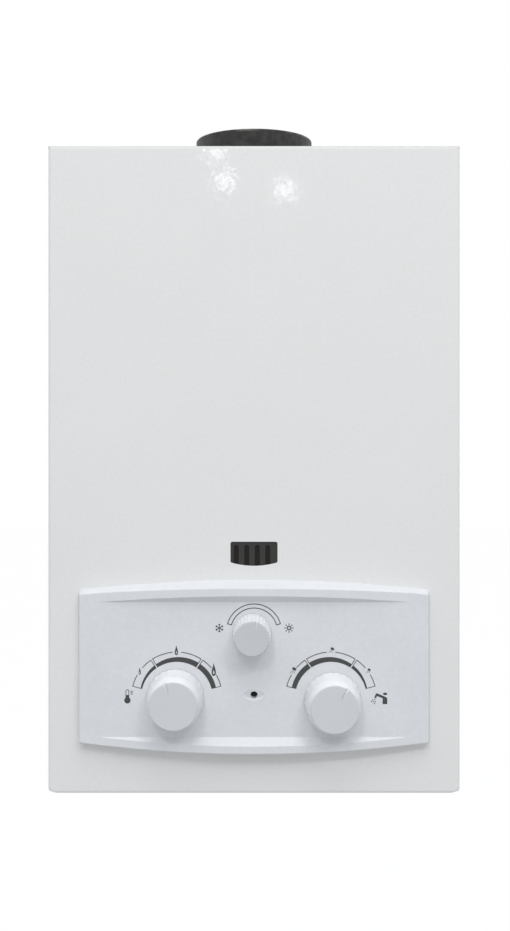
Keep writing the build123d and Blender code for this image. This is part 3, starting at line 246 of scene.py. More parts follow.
# %% [markdown]
# ## Parts of a finish
# Every finish below is built from the same few parts: a noise on the object's own coordinates, a mix of two
# close colours, and a bump. Object coordinates are in metres, so a noise scale of 500 gives grains of about
# two millimetres. Colours stay close together: real enamel and plastic vary by a few steps of brightness.

# %% Finish parts
def along(paint, axis):
    """One of the object's own coordinates, in metres."""
    place = paint.node("ShaderNodeTexCoord", {}, {}, "Object")
    return paint.node("ShaderNodeSeparateXYZ", {}, {"Vector": place}, axis)


def grain(paint, size, detail=2.0):
    """Noise whose grains are about one size, in metres."""
    place = paint.node("ShaderNodeTexCoord", {}, {}, "Object")
    return paint.node("ShaderNodeTexNoise", {}, {"Vector": place, "Scale": 1 / size, "Detail": detail})


def mottled(paint, wide, fine, fine_share):
    """Wide clouds with a finer mottle in them."""
    return grain(paint, wide) * (1 - fine_share) + grain(paint, fine) * fine_share


def brushed(paint, size, stretch):
    """Noise drawn out along one axis or two, as rolling and brushing leave it."""
    place = paint.node("ShaderNodeTexCoord", {}, {}, "Object")
    scaled = paint.node("ShaderNodeMapping", {}, {"Vector": place, "Scale": stretch})
    return paint.node("ShaderNodeTexNoise", {}, {"Vector": scaled, "Scale": 1 / size, "Detail": 3.0})


def cells(paint, size):
    """Crystal-like patches, each with one grey value."""
    place = paint.node("ShaderNodeTexCoord", {}, {}, "Object")
    patch = paint.node("ShaderNodeTexVoronoi", {}, {"Vector": place, "Scale": 1 / size}, "Color")
    return paint.node("ShaderNodeSeparateColor", {}, {"Color": patch})


def between(paint, share, first, second):
    """Colour that goes from one to the other as a share goes from 0 to 1."""
    return paint.node("ShaderNodeMix", {"data_type": "RGBA"}, {0: share, 6: first, 7: second}, 2)


def relief(paint, height, depth):
    """Bumped normal from a height of 0 to 1 and a depth in metres."""
    return paint.node("ShaderNodeBump", {}, {"Height": height, "Distance": depth})


finishes = {}


def new_finish(name):
    """Empty material and the signal that adds nodes to it."""
    material = bpy.data.materials.new(name)
    material.use_nodes = True
    material.node_tree.nodes.clear()
    finishes[name] = material
    return Signal(material.node_tree)


def lay_on(paint, values):
    """Ends a finish with a Principled shader and the material's output."""
    surface = paint.node("ShaderNodeBsdfPrincipled", {}, values)
    paint.node("ShaderNodeOutputMaterial", {}, {"Surface": surface})


print("finish parts ready")

# %% [markdown]
# ## Powder coat
# The case is sheet steel with a baked white powder coat. Such a coat melts into a glossy skin with a faint
# orange peel, which breaks a lamp's reflection into a cluster of sparks. A rougher shader would only blur the
# lamp, so the gloss stays sharp and a shallow bump does the breaking up. The bump has waves of one size,
# because finer ones would melt the sparks into one spot. A faint mottle keeps the white from looking like
# paper. Along the top edge the coat is painted greyer, as painted shade against the strong light from above,
# and made matt.

# %% White powder coat
peel_size = 3.6 * mm
peel_depth = 0.026 * mm
top_shade_height = 2.5 * mm
top_shade_grey = linear(192, 191, 189)
case_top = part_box("front_cover")[1].z
paint = new_finish("cover_white")
tone = mottled(paint, 70 * mm, 2.4 * mm, fine_share=0.7)
coat = between(paint, tone, linear(229, 229, 229), linear(241, 241, 240))
# The top edge is painted greyer: painted shade against the strong light from above.
top_shade = along(paint, "Z").ramp(case_top - top_shade_height, case_top)
lay_on(paint, {
    "Base Color": between(paint, top_shade, coat, top_shade_grey),
    "Roughness": 0.045 + grain(paint, 12 * mm) * 0.03 + top_shade * 0.9,
    "Normal": relief(paint, grain(paint, peel_size, detail=0.0), peel_depth),
    "IOR": 1.48,
})
print("white powder coat, shaded above", round(case_top - top_shade_height, 4))

# %% [markdown]
# ## Moulded plastic
# The panel is a white moulding with a satin face: a spark-eroded mould leaves a texture finer than the eye
# can part. The black and grey mouldings inside the case use the same recipe, so one function makes them all.
# The knobs come from other moulds and have a cell of their own.

# %% Moulded plastics
satin_depth = 0.012 * mm


def moulding(name, first, second, roughness, texture):
    """Satin moulded plastic between two close colours."""
    paint = new_finish(name)
    fine = grain(paint, texture, detail=1.0)
    tone = mottled(paint, 30 * mm, 2.4 * mm, fine_share=0.6)
    lay_on(paint, {
        "Base Color": between(paint, tone, linear(*first), linear(*second)),
        "Roughness": roughness + fine * 0.10,
        "Normal": relief(paint, fine, satin_depth),
        "IOR": 1.5,
    })


moulding("panel_white", (216, 218, 222), (234, 236, 239), 0.36, 0.6 * mm)
moulding("plastic_black", (34, 34, 35), (44, 44, 45), 0.40, 0.7 * mm)
moulding("plastic_grey", (176, 179, 182), (186, 188, 190), 0.40, 0.7 * mm)
print("finishes so far", len(finishes))

# %% [markdown]
# ## Knob plastic
# The knobs' flat faces have a matt texture that keeps finger marks away, while their sides are smoother. The
# faces are also given a darker colour as painted shade, and the sides a lighter one as painted light, where
# they catch the light from above and from the sides. Two materials on separate faces could do that. Here the
# depth behind the face, read from the object's own coordinates, mixes the two, so the change follows the
# rounded rim.

# %% Knob plastic
rim_depth = 0.6 * mm
face_spread = 5
side_spread = 4


def knob_plastic(name, node, face, side):
    """White plastic that goes from a matt face with painted shade to smoother sides with painted light."""
    paint = new_finish(name)
    face_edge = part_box(node)[0].y + rim_depth
    off_face = along(paint, "Y").ramp(face_edge, face_edge + rim_depth)
    fine = grain(paint, 0.5 * mm, detail=1.0)
    clouds = grain(paint, 25 * mm)
    light_face = [value + face_spread for value in face]
    light_side = [value + side_spread for value in side]
    # Painted shade on the matt face, painted light on the smoother sides.
    face_shade_tone = between(paint, clouds, linear(*face), linear(*light_face))
    side_light_tone = between(paint, clouds, linear(*side), linear(*light_side))
    lay_on(paint, {
        "Base Color": between(paint, off_face, face_shade_tone, side_light_tone),
        "Roughness": 0.42 - off_face * 0.14 + fine * 0.08,
        "Normal": relief(paint, fine, satin_depth),
        "IOR": 1.5,
    })


# The side colour is painted light; the face colours below are painted shade.
knob_side_lit = (233, 235, 237)
knob_plastic("knob_white", "gas_knob", (211, 214, 218), knob_side_lit)
knob_plastic("season_white", "season_knob", (201, 204, 208), knob_side_lit)

# %% [markdown]
# ## Black enamel and black paint
# The flue collar is enamelled sheet: dark and mottled, with a soft shine, and along its top rim it has grey
# patches of painted highlight, where the rim catches the light. The plate behind the flame window is matt
# black paint, which goes brownish with heat. Both need a change of tone, or the black turns into a hole in
# the picture. A ramp sharpens a soft noise into patches.

# %% Blacks
rim_highlight_height = 2.5 * mm
rim_highlight_grey = linear(118, 116, 113)
collar_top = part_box("flue_collar")[1].z
paint = new_finish("collar_black")
clouds = grain(paint, 9 * mm, detail=3.0)
mottle = grain(paint, 5 * mm, detail=3.0).ramp(1 / 3, 2 / 3)
patches = grain(paint, 12 * mm).ramp(1 / 2, 2 / 3)
lit_rim = along(paint, "Z").ramp(collar_top - rim_highlight_height, collar_top)
enamel = between(paint, mottle, linear(12, 12, 12), linear(46, 45, 44))
lay_on(paint, {
    # The grey patches along the top rim are painted highlight.
    "Base Color": between(paint, lit_rim * patches, enamel, rim_highlight_grey),
    "Roughness": 0.40 + clouds * 0.15,
    "Normal": relief(paint, grain(paint, 1.6 * mm, detail=1.0), 0.03 * mm),
})
paint = new_finish("grille_black")
soot = grain(paint, 4 * mm, detail=4.0)
lay_on(paint, {
    "Base Color": between(paint, soot, linear(37, 36, 35), linear(52, 50, 49)),
    "Roughness": 0.55 + soot * 0.2,
    "Normal": relief(paint, grain(paint, 0.7 * mm), 0.02 * mm),
})
print("collar highlit above", round(collar_top - rim_highlight_height, 4))

# %% [markdown]
# ## Bare metals
# Zinc-coated sheet shows flat crystals, the spangle, of slightly different greys. Machined brass has fine
# turning marks, drawn copper is smooth with brown clouds of tarnish, and die-cast alloy is evenly grainy.
# Metal is all reflection, so most of each recipe is in the roughness.

# %% Zinc, steel and cast alloy
paint = new_finish("galvanised")
rolling = brushed(paint, 2 * mm, (1, 1, 0.35))
spangle = cells(paint, 7 * mm) * 0.4 + rolling * 0.35 + cells(paint, 3 * mm) * 0.25
lay_on(paint, {
    "Base Color": between(paint, spangle, linear(176, 180, 183), linear(198, 201, 203)),
    "Metallic": 1.0,
    "Roughness": 0.36 + spangle * 0.14,
    "Normal": relief(paint, grain(paint, 3 * mm), 0.02 * mm),
})


def bright_metal(name, first, second, size, stretch, roughness, depth):
    """Metal with drawn-out marks between two close colours."""
    paint = new_finish(name)
    marks = brushed(paint, size, stretch)
    lay_on(paint, {
        "Base Color": between(paint, marks, linear(*first), linear(*second)),
        "Metallic": 1.0,
        "Roughness": roughness + marks * 0.14,
        "Normal": relief(paint, marks, depth),
    })


even = (1, 1, 1)
turned = (0.15, 0.15, 1)
drawn = (1, 1, 0.12)
bright_metal("zinc_screw", (176, 176, 170), (206, 205, 198), 1.2 * mm, even, 0.28, 0.01 * mm)
bright_metal("steel_part", (168, 169, 171), (200, 201, 202), 0.8 * mm, drawn, 0.24, 0.008 * mm)
bright_metal("burner_steel", (150, 146, 140), (186, 184, 180), 5 * mm, even, 0.32, 0.02 * mm)
bright_metal("cast_alloy", (164, 165, 167), (190, 191, 193), 0.8 * mm, even, 0.42, 0.03 * mm)
bright_metal("brass_fitting", (190, 152, 84), (216, 180, 108), 0.5 * mm, turned, 0.22, 0.006 * mm)
bright_metal("copper", (176, 104, 72), (212, 140, 104), 14 * mm, even, 0.26, 0.01 * mm)
print("finishes so far", len(finishes))

# %% [markdown]
# ## Rubber, ceramic, chamber coat and cell jackets
# These pieces sit inside the case, and only a glance through a slot or an open battery door finds them. They
# still get a finish of their own: a dusty matt rubber, an unglazed ceramic with fine pores, a dull grey
# heat-proof coat for the chamber, and a dark metallic jacket for the cells.

# %% Rubber, ceramic, chamber coat and jackets
def dull(name, first, second, size, detail, roughness, depth, ior=1.5):
    """Matt finish whose tone, roughness and relief all follow one noise."""
    paint = new_finish(name)
    powder = grain(paint, size, detail)
    lay_on(paint, {
        "Base Color": between(paint, powder, linear(*first), linear(*second)),
        "Roughness": roughness + powder * 0.2,
        "Normal": relief(paint, powder, depth),
        "IOR": ior,
    })


dull("rubber_black", (30, 30, 30), (48, 47, 46), 2 * mm, 3.0, 0.62, 0.03 * mm)
dull("ceramic_white", (226, 221, 208), (240, 236, 226), 0.8 * mm, 3.0, 0.5, 0.02 * mm)
dull("chamber_grey", (118, 113, 110), (150, 145, 141), 8 * mm, 4.0, 0.7, 0.04 * mm)
paint = new_finish("cell_jacket")
wrap = grain(paint, 20 * mm, detail=1.0)
lay_on(paint, {
    "Base Color": between(paint, wrap, linear(70, 74, 84), linear(96, 100, 110)),
    "Roughness": 0.25 + wrap * 0.1,
    "Metallic": 0.4,
})
print("finishes", sorted(finishes))

# %% [markdown]
# ## Dressing the solid nodes
# The record says which finish each node takes. The nodes' own meshes stay as they are: only the material in
# their slots is changed. Three nodes differ from their slot. The chamber and its coil have the dull grey
# heat-proof coat, and the small knob's face is painted a little darker than the large knobs' faces.

# %% Dress the nodes
slot_of = {part["node"]: part["material_slot"] for part in frame["record"]["subparts"]}
own_finish = {"combustion_chamber": "chamber_grey",
              "chamber_coil": "chamber_grey",
              "season_knob": "season_white"}
for name, piece in frame["nodes"].items():
    finish = finishes[own_finish.get(name, slot_of[name])]
    if not piece.material_slots:
        piece.data.materials.append(finish)
    for place in piece.material_slots:
        place.material = finish
print("dressed", len(slot_of), "nodes")

# %% [markdown]
# ## Pane of painted shade
# The slots of the flame window look dark grey, not black. A dark matt pane behind the slotted plate stands in
# for the shade inside the case: its colour is painted shade. It could be left to the dark of the case, but
# then the slots turn into holes in the picture. A flat box with bevelled edges lies on the plate's back.

# %% Pane of painted shade
pane_depth = 0.5 * mm
pane_margin = 1.5 * mm
pane_bevel = 0.12 * mm
# The pane's dark colour is painted shade of the case's inside.
dull("pane_shade", (30, 29, 28), (44, 42, 41), 5 * mm, 3.0, 0.55, 0.02 * mm, ior=1.25)
low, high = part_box("sight_grille")
bpy.ops.object.select_all(action="DESELECT")
bpy.ops.mesh.primitive_cube_add(size=1, location=((low.x + high.x) / 2, high.y + pane_depth / 2,
                                                  (low.z + high.z) / 2))
pane = bpy.context.object
pane.name = "sight_pane"
pane.scale = (high.x - low.x - 2 * pane_margin, pane_depth, high.z - low.z - 2 * pane_margin)
bpy.ops.object.transform_apply(location=True, rotation=True, scale=True)
edge = pane.modifiers.new("edge", "BEVEL")
edge.width = pane_bevel
edge.segments = 2
bpy.ops.object.modifier_apply(modifier="edge")
pane.data.materials.append(finishes["pane_shade"])
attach(pane, "casing")
print("pane", [round(v / mm, 1) for v in pane.dimensions], "behind", round(high.y / mm, 2))

# %% [markdown]
# ## Ink for the dials
# The scales round the knobs are pad-printed: a soft pad lays a thin, matt, dark grey ink on the panel. A
# texture could carry them, but a print made of real shapes stays sharp at any distance. So each line is a
# flat shape on the panel's face, raised by about a tenth of a millimetre. Lines that cross lie at slightly
# different heights, because two faces in one place would shade each other.

# %% Ink and its tools
paint = new_finish("dial_ink")
wear = grain(paint, 1.5 * mm)
lay_on(paint, {
    "Base Color": between(paint, wear, linear(58, 58, 59), linear(70, 70, 71)),
    "Roughness": 0.45 + wear * 0.15,
})
knob_gap = 0.6 * mm
face_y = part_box("gas_knob")[1].y + knob_gap
ink_depth = 0.08 * mm
ink_step = 0.003 * mm
ink_levels = 7


def on_face(x, z):
    """Point of the panel's flat face, from millimetres across and up."""
    return (x * mm, face_y, z * mm)


def settle(piece):
    """Moves an object's place, turn and scale into its mesh."""
    bpy.ops.object.select_all(action="DESELECT")
    piece.select_set(True)
    bpy.context.view_layer.objects.active = piece
    bpy.ops.object.transform_apply(location=True, rotation=True, scale=True)
    return piece


def spot(x, z, width, height, fill="NGON", sides=32):
    """Upright oval on the panel's face."""
    bpy.ops.object.select_all(action="DESELECT")
    bpy.ops.mesh.primitive_circle_add(vertices=sides, radius=0.5 * mm, fill_type=fill,
                                      location=on_face(x, z), rotation=upright)
    bpy.context.object.scale = (width, height, 1)
    return bpy.context.object


def line(x0, z0, x1, z1, width):
    """Straight stroke between two points."""
    bpy.ops.object.select_all(action="DESELECT")
    bpy.ops.mesh.primitive_plane_add(size=mm, location=on_face((x0 + x1) / 2, (z0 + z1) / 2),
                                     rotation=(pi / 2, atan2(x1 - x0, z1 - z0), 0))
    bpy.context.object.scale = (width, hypot(x1 - x0, z1 - z0), 1)
    return settle(bpy.context.object)


print("ink lies at", round(face_y, 5))

# %% [markdown]
# ## Arcs
# An arc starts as a circle. Its edges are extruded and scaled into a ring, and two bisects cut the wanted
# part out of it. If the outer circle is moved sideways before it is scaled, the ring gets thicker on one
# side: that is how the wedge-shaped scale for little and much is drawn. All the strokes of one print are then
# joined and raised together.

# %% Arcs
arc_sides = 240


def arc(x, z, inner, outer, start, end, shift_x=0, shift_z=0):
    """Part of a ring between two angles, counted clockwise from the top."""
    piece = settle(spot(x, z, 2 * inner, 2 * inner, "NOTHING", arc_sides))
    bpy.ops.object.mode_set(mode="EDIT")
    bpy.ops.mesh.select_all(action="SELECT")
    bpy.ops.mesh.extrude_edges_move(TRANSFORM_OT_translate={"value": (shift_x * mm, 0, shift_z * mm)})
    bpy.ops.transform.resize(value=(outer / inner, 1, outer / inner),
                             center_override=on_face(x + shift_x, z + shift_z))
    for angle, side in ((start, {"clear_inner": True}), (end, {"clear_outer": True})):
        across = (cos(radians(angle)), 0, -sin(radians(angle)))
        bpy.ops.mesh.select_all(action="SELECT")
        bpy.ops.mesh.bisect(plane_co=on_face(x, z), plane_no=across, **side)
    bpy.ops.object.mode_set(mode="OBJECT")
    return piece


def spoke(x, z, inner, outer, angle, width):
    """Radial stroke at an angle clockwise from the top."""
    across, up = sin(radians(angle)), cos(radians(angle))
    return line(x + inner * across, z + inner * up, x + outer * across, z + outer * up, width)


def pull_up(name, strokes):
    """Joins strokes into one print and raises it off the panel as a closed shape."""
    for number, stroke in enumerate(strokes):
        stroke.location.y = -ink_step * (number % ink_levels)
        settle(stroke)
    for stroke in strokes:
        stroke.select_set(True)
    bpy.context.view_layer.objects.active = strokes[0]
    bpy.ops.object.join()
    printed = bpy.context.object
    printed.name = name
    bpy.ops.object.mode_set(mode="EDIT")
    bpy.ops.mesh.select_all(action="SELECT")
    bpy.ops.mesh.extrude_region_move(TRANSFORM_OT_translate={"value": (0, -ink_depth, 0)})
    bpy.ops.mesh.select_all(action="SELECT")
    bpy.ops.mesh.normals_make_consistent(inside=False)
    bpy.ops.object.mode_set(mode="OBJECT")
    printed.data.materials.clear()
    printed.data.materials.append(finishes["dial_ink"])
    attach(printed, "casing")
    print(name, len(printed.data.polygons), "faces")


print("an arc starts with", arc_sides, "sides")

# %% [markdown]
# ## Gas and water scales
# Each large knob has a scale of three boxes: a band that swells from little to much, and a thin outer line
# that is broken for a small sign. The two scales mirror each other, so one function draws both, and a hand of
# plus or minus one says on which side the band is thick.

# %% Scale of three boxes
dial_x = {"gas": -53.7, "water": 53.5}
dial_z = -356.0
boxes = ((-75.5, -34.8), (-32.2, 32.2), (34.8, 75.5))
breaks = (-54.6, 0, 54.6)
break_half = 5.5
band_inner = 24.9
band_outer = 26.75
band_shift = (1.093, 1.449)
rim_inner = 31.4
rim_outer = 31.95
stroke_width = 0.45


def three_boxes(x, hand):
    """Band, outer line and end strokes of a large knob's scale."""
    strokes = []
    shift_x, shift_z = hand * band_shift[0], band_shift[1]
    for (start, end), middle in zip(boxes, breaks):
        strokes.append(arc(x, dial_z, band_inner, band_outer, start, end, shift_x, shift_z))
        strokes.append(arc(x, dial_z, rim_inner, rim_outer, start, middle - break_half))
        strokes.append(arc(x, dial_z, rim_inner, rim_outer, middle + break_half, end))
        for angle in (start, end):
            strokes.append(spoke(x, dial_z, band_inner, rim_outer, angle, stroke_width))
    return strokes


pull_up("gas_scale_print", three_boxes(dial_x["gas"], 1))
pull_up("water_scale_print", three_boxes(dial_x["water"], -1))

# %% [markdown]
# ## Flames and a thermometer
# A flame is a circle pulled into a drop by a Simple Deform modifier set to taper. Its edge is then extruded
# and scaled down towards the foot, which leaves the small light hollow. The thermometer beside the scale is
# made of strokes and spots: filled below, an outline above.

# %% Gas signs
taper_factor = -1.9
taper_swell = 1.28
hollow_share = (0.36, 1, 0.34)
hollow_drop = 0.3
# Across and up from the dial's middle, width and height
flames = ((-25.8, 18.6, 1.6, 5.2), (-0.3, 33.0, 2.3, 6.8), (25.7, 19.7, 3.0, 9.2))
bulb_x = -88.1
bulb_z = -357.9
bulb_width = 4.4
stem_half = 1.25
stem_top = -351.6
fill_z = -354.2
mark_start = 2.3
mark_end = 3.7
mark_gap = 0.95
mark_width = 0.42


def flame(x, z, width, height):
    """Upright drop with a hollow near its foot."""
    drop = spot(x, z, width / taper_swell, height, "NOTHING")
    taper = drop.modifiers.new("taper", "SIMPLE_DEFORM")
    taper.deform_method = "TAPER"
    taper.deform_axis = "Y"
    taper.factor = taper_factor
    bpy.ops.object.modifier_apply(modifier="taper")
    settle(drop)
    bpy.ops.object.mode_set(mode="EDIT")
    bpy.ops.mesh.select_all(action="SELECT")
    bpy.ops.mesh.extrude_edges_move()
    bpy.ops.transform.resize(value=hollow_share, center_override=on_face(x, z - hollow_drop * height))
    bpy.ops.object.mode_set(mode="OBJECT")
    return drop


signs = []
for across, up, width, height in flames:
    signs.append(flame(dial_x["gas"] + across, dial_z + up, width, height))
signs.append(settle(spot(bulb_x, bulb_z, bulb_width, bulb_width)))
signs.append(line(bulb_x, bulb_z, bulb_x, fill_z, 2 * stem_half))
signs.append(arc(bulb_x, stem_top, stem_half - stroke_width, stem_half, -90, 90))
for side in (-1, 1):
    wall_x = bulb_x + side * (stem_half - stroke_width / 2)
    signs.append(line(wall_x, fill_z, wall_x, stem_top, stroke_width))
for step in range(3):
    mark_z = stem_top - step * mark_gap
    signs.append(line(bulb_x + mark_start, mark_z, bulb_x + mark_end, mark_z, mark_width))
pull_up("gas_signs_print", signs)

# %% [markdown]
# ## Shower heads and a tap
# The water scale carries three small shower heads, from much to little, and a tap with a few drops. They are
# so small that a tilted cap with three fine strokes reads as a shower head.

# %% Water signs
# Across and up from the dial's middle, and size
showers = ((-26.4, 18.8, 1.2), (0.3, 33.0, 1.0), (26.0, 18.6, 0.85))
cap_place = (0.75, 1.0)
cap_size = (2.6, 1.7)
cap_tilt = radians(25)
spray_top = (-0.35, 0.2)
spray_foot = (-1.7, -1.7)
top_gap = 0.75
foot_gap = 1.25
spray_width = 0.2
tap_x = 91.1
tap_z = -358.2
# Lines by two points and a width, ovals by a point, a width and a height, all from the tap's own place
tap_body = (0, -2.3, 0, 1.3, 3.2)
tap_crown = (0, 1.3, 3.2, 2.6)
tap_arm = (0.6, 1.7, -5.6, 4.3, 1.7)
tap_bend = (-5.6, 4.2, 1.9, 1.9)
tap_spout = (-5.8, 4.4, -6.9, 1.9, 1.3)
tap_handle = (0.1, 4.8, 2.9, 1.7)
drops = ((-7.2, 0.9), (-8.6, 0.5), (-9.5, -0.4), (-8.1, -0.8), (-6.7, -0.6), (-7.2, -1.8))
drop_width = 0.75


def shower(x, z, size):
    """Tilted cap with a fan of spray below it."""
    cap = spot(x + cap_place[0] * size, z + cap_place[1] * size, cap_size[0] * size, cap_size[1] * size)
    cap.rotation_euler = (pi / 2, cap_tilt, 0)
    strokes = [settle(cap)]
    for step in range(3):
        top_x = x + (spray_top[0] + step * top_gap) * size
        foot_x = x + (spray_foot[0] + step * foot_gap) * size
        strokes.append(line(top_x, z + spray_top[1] * size, foot_x, z + spray_foot[1] * size, spray_width))
    return strokes


def tap_line(x0, z0, x1, z1, width):
    """Stroke of the tap."""
    return line(tap_x + x0, tap_z + z0, tap_x + x1, tap_z + z1, width)


def tap_spot(x, z, width, height):
    """Oval of the tap."""
    return settle(spot(tap_x + x, tap_z + z, width, height))


signs = []
for across, up, size in showers:
    signs += shower(dial_x["water"] + across, dial_z + up, size)
signs += [tap_line(*tap_body), tap_spot(*tap_crown), tap_line(*tap_arm)]
signs += [tap_spot(*tap_bend), tap_line(*tap_spout), tap_spot(*tap_handle)]
for across, up in drops:
    signs.append(tap_spot(across, up, drop_width, drop_width))
pull_up("water_signs_print", signs)

# %% [markdown]
# ## Summer and winter
# The small knob sets the burner for summer or winter: an outlined band, a snowflake and a sun. One arm and
# one ray are drawn, duplicated and turned about the sign's middle.

# %% Season scale
season_dial = (0, -310.0)
season_end = 73.7
season_inner = 16.0
season_outer = 19.45
season_stroke = 0.62
sign_z = -307.6
flake_x = -24.1
flake_arms = 6
flake_reach = 2.6
flake_width = 0.5
flake_tip = (2.35, 1.35, 1.1)
sun_x = 24.4
sun_inner = 0.85
sun_outer = 1.6
sun_rays = 8
ray_start = 2.15
ray_end = 3.25
ray_width = 0.6


def turned_copies(piece, x, z, count):
    """A stroke and its copies, evenly turned about a point."""
    copies = [piece]
    for step in range(1, count):
        bpy.ops.object.select_all(action="DESELECT")
        piece.select_set(True)
        bpy.context.view_layer.objects.active = piece
        bpy.ops.object.duplicate()
        turn = 2 * pi * step / count
        bpy.ops.transform.rotate(value=turn, orient_axis="Y", center_override=on_face(x, z))
        copies.append(settle(bpy.context.object))
    return copies


signs = [arc(*season_dial, season_inner, season_inner + season_stroke, -season_end, season_end),
         arc(*season_dial, season_outer - season_stroke, season_outer, -season_end, season_end)]
for end in (-season_end, season_end):
    signs.append(spoke(*season_dial, season_inner, season_outer, end, season_stroke))
arm = line(flake_x, sign_z, flake_x, sign_z + flake_reach, flake_width)
signs += turned_copies(arm, flake_x, sign_z, flake_arms)
tip_up, tip_width, tip_height = flake_tip
tip = settle(spot(flake_x, sign_z + tip_up, tip_width, tip_height))
signs += turned_copies(tip, flake_x, sign_z, flake_arms)
for start in (-90, 90):
    signs.append(arc(sun_x, sign_z, sun_inner, sun_outer, start, start + 180))
ray = line(sun_x, sign_z + ray_start, sun_x, sign_z + ray_end, ray_width)
signs += turned_copies(ray, sun_x, sign_z, sun_rays)
pull_up("season_scale_print", signs)

# %% [markdown]
# ## Knob cones
# Each large knob ends in a soft cone before its flat face, and the small knob's face is nearly as wide as its
# base. The solids have this as a short bevel. A new knob could be spun, but it would lose the flutes and the
# pointer. So a copy of each solid is merged, and its outer rings of points are drawn out: those near the face
# move back and outwards, and the rest close up behind them. The hollow with the shaft's bore stays.

# %% Knob cones
merge_distance = 0.001 * mm
hollow_roof = 2 * mm
hollow_lean = 0.215
swell_fade = 1.3
flute_smoothing = radians(6)


def merged_copy(node, name):
    """Copy of a solid node as one closed mesh, with the finish left to choose."""
    copy = bpy.data.objects.new(name, frame["nodes"][node].data.copy())
    bpy.context.scene.collection.objects.link(copy)
    settle(copy)
    bpy.ops.object.mode_set(mode="EDIT")
    bpy.ops.mesh.select_mode(type="VERT")
    bpy.ops.mesh.select_all(action="SELECT")
    bpy.ops.mesh.remove_doubles(threshold=merge_distance)
    bpy.ops.mesh.customdata_custom_splitnormals_clear()
    bpy.ops.mesh.select_all(action="DESELECT")
    bpy.ops.object.mode_set(mode="OBJECT")
    copy.data.materials.clear()
    return copy


def drawn_out(node, body, finish, zone, cone, swell, hollow):
    """Knob whose front zone becomes a cone of another depth, with a wider face and its hollow left alone."""
    low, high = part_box(node)
    axis_x, axis_z = (low.x + high.x) / 2, (low.z + high.z) / 2
    knob = merged_copy(node, node + "_dressed")
    closing = (high.y - low.y - cone) / max(high.y - low.y - zone, mm)
    for point in knob.data.vertices:
        depth = point.co.y - low.y
        off_axis = hypot(point.co.x - axis_x, point.co.z - axis_z)
        if depth > hollow_roof and off_axis < hollow + depth * hollow_lean:
            continue
        if depth > zone:
            point.co.y = low.y + cone + (depth - zone) * closing
            continue
        share = depth / zone
        wider = 1 + (swell - 1) * (1 - share) ** swell_fade
        point.co = (axis_x + (point.co.x - axis_x) * wider, low.y + share * cone,
                    axis_z + (point.co.z - axis_z) * wider)
    bpy.ops.object.shade_smooth_by_angle(angle=flute_smoothing)
    knob.data.materials.append(finishes[finish])
    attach(knob, body)
    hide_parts(node)
    print(knob.name, len(knob.data.polygons), "faces")


# Depth of the zone and of the cone, swell of the face, and radius of the hollow at the face
large_cone = (3.75 * mm, 9 * mm, 1.055, 14.2 * mm)
small_cone = (18 * mm, 18 * mm, 1.06, 0)
drawn_out("gas_knob", "gas_control", "knob_white", *large_cone)
drawn_out("water_knob", "water_control", "knob_white", *large_cone)
drawn_out("season_knob", "season_control", "season_white", *small_cone)

# %% [markdown]
# ## Low screw heads
# Two screws under the case hold the cover. Seen from the front, none of them shows below the case's edge, so
# their heads are low and narrow. A new screw could be spun, but the solid one already has its cross slot. A
# copy is enough, with the points below the cover's flange drawn up to it and in towards the screw's axis.

# %% Low screw heads
head_height = 2.2 * mm
head_kept = 0.05
head_narrowed = 0.78
near_flange = 0.01 * mm
edge_smoothing = radians(30)
low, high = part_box("cover_screws")
head_radius = (high.y - low.y) / 2
axis_y = (low.y + high.y) / 2
flange_z = low.z + head_height
screws = merged_copy("cover_screws", "cover_screws_low")
for axis_x in (low.x + head_radius, high.x - head_radius):
    for point in screws.data.vertices:
        off_axis = hypot(point.co.x - axis_x, point.co.y - axis_y)
        point.select = off_axis < 2 * head_radius and point.co.z < flange_z + near_flange
    print("points drawn up", sum(1 for point in screws.data.vertices if point.select))
    bpy.ops.object.mode_set(mode="EDIT")
    bpy.ops.transform.resize(value=(head_narrowed, head_narrowed, head_kept),
                             center_override=(axis_x, axis_y, flange_z))
    bpy.ops.object.mode_set(mode="OBJECT")
bpy.ops.object.shade_smooth_by_angle(angle=edge_smoothing)
screws.data.materials.append(finishes["zinc_screw"])
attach(screws, "casing")
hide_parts("cover_screws")
print(screws.name, len(screws.data.polygons), "faces")

# %% [markdown]
# ## Pipe threads
# The three connections carry half-inch pipe thread. The solid model only has a plain cylinder at the thread's
# outer size. A copy of each connection is narrowed to the thread's root there, and a ridge is wound round it:
# a triangle turned by a Screw modifier, with its open ends filled. One ridge is made, and each connection
# gets a copy of it.

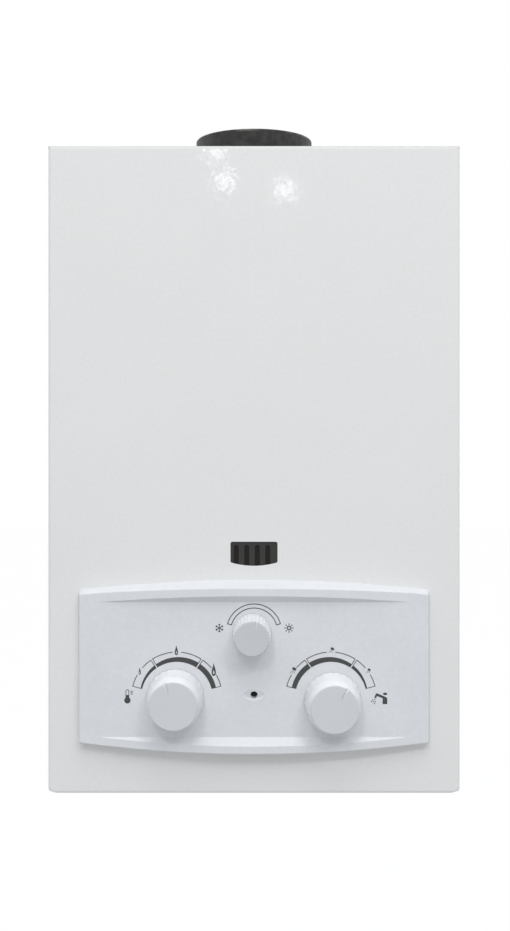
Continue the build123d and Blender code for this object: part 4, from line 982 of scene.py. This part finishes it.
# %% Thread ridge
thread_pitch = 1.814 * mm
thread_crest = 10.46 * mm
thread_root = 9.35 * mm
thread_turns = 8
thread_steps = 64
thread_start = 0.95 * mm
ridge_sink = 0.2 * mm
ridge_foot = thread_root - ridge_sink
ridge_half_share = 0.48
bpy.ops.object.select_all(action="DESELECT")
bpy.ops.mesh.primitive_circle_add(vertices=3, radius=thread_pitch, fill_type="NOTHING")
ridge = bpy.context.object
corners = ((ridge_foot, -ridge_half_share), (thread_crest, 0), (ridge_foot, ridge_half_share))
for corner, (radius, height_share) in zip(ridge.data.vertices, corners):
    corner.co = (radius, 0, height_share * thread_pitch)
wind = ridge.modifiers.new("wind", "SCREW")
wind.axis = "Z"
wind.steps = thread_steps
wind.render_steps = thread_steps
wind.iterations = thread_turns
wind.screw_offset = thread_pitch
bpy.ops.object.modifier_apply(modifier="wind")
bpy.ops.object.mode_set(mode="EDIT")
bpy.ops.mesh.select_all(action="SELECT")
bpy.ops.mesh.fill_holes(sides=3)
bpy.ops.mesh.select_all(action="SELECT")
bpy.ops.mesh.normals_make_consistent(inside=False)
bpy.ops.object.mode_set(mode="OBJECT")
print("ridge", len(ridge.data.polygons), "faces")

# %% [markdown]
# ## Threaded connections
# The copy of a connection is merged first, because its triangles come in loose. The points on the thread's
# outer circle are then selected by their distance from the pipe's axis, and scaled in to the root. The ridge
# is joined to it, so each connection stays one piece.

# %% Threaded connections
thread_outer = 10.48 * mm
thread_reach = 18 * mm
near_outer = 0.1 * mm
root_share = thread_root / thread_outer
for name in ("gas_inlet", "cold_inlet", "hot_outlet"):
    low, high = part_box(name)
    axis_x, axis_y = (low.x + high.x) / 2, (low.y + high.y) / 2
    pipe = merged_copy(name, name + "_threaded")
    for point in pipe.data.vertices:
        off_axis = hypot(point.co.x - axis_x, point.co.y - axis_y)
        point.select = abs(off_axis - thread_outer) < near_outer and point.co.z < low.z + thread_reach
    narrowed = sum(1 for point in pipe.data.vertices if point.select)
    bpy.ops.object.mode_set(mode="EDIT")
    bpy.ops.transform.resize(value=(root_share, root_share, 1), center_override=(axis_x, axis_y, low.z))
    bpy.ops.object.mode_set(mode="OBJECT")
    bpy.ops.object.select_all(action="DESELECT")
    ridge.select_set(True)
    bpy.context.view_layer.objects.active = ridge
    bpy.ops.object.duplicate()
    wound = bpy.context.object
    wound.location = (axis_x, axis_y, low.z + thread_start)
    settle(wound)
    pipe.select_set(True)
    bpy.context.view_layer.objects.active = pipe
    bpy.ops.object.join()
    bpy.ops.object.shade_smooth_by_angle(angle=edge_smoothing)
    pipe.data.materials.append(finishes["brass_fitting"])
    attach(pipe, "casing")
    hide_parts(name)
    print(pipe.name, narrowed, "points narrowed,", len(pipe.data.polygons), "faces")
bpy.data.objects.remove(ridge)
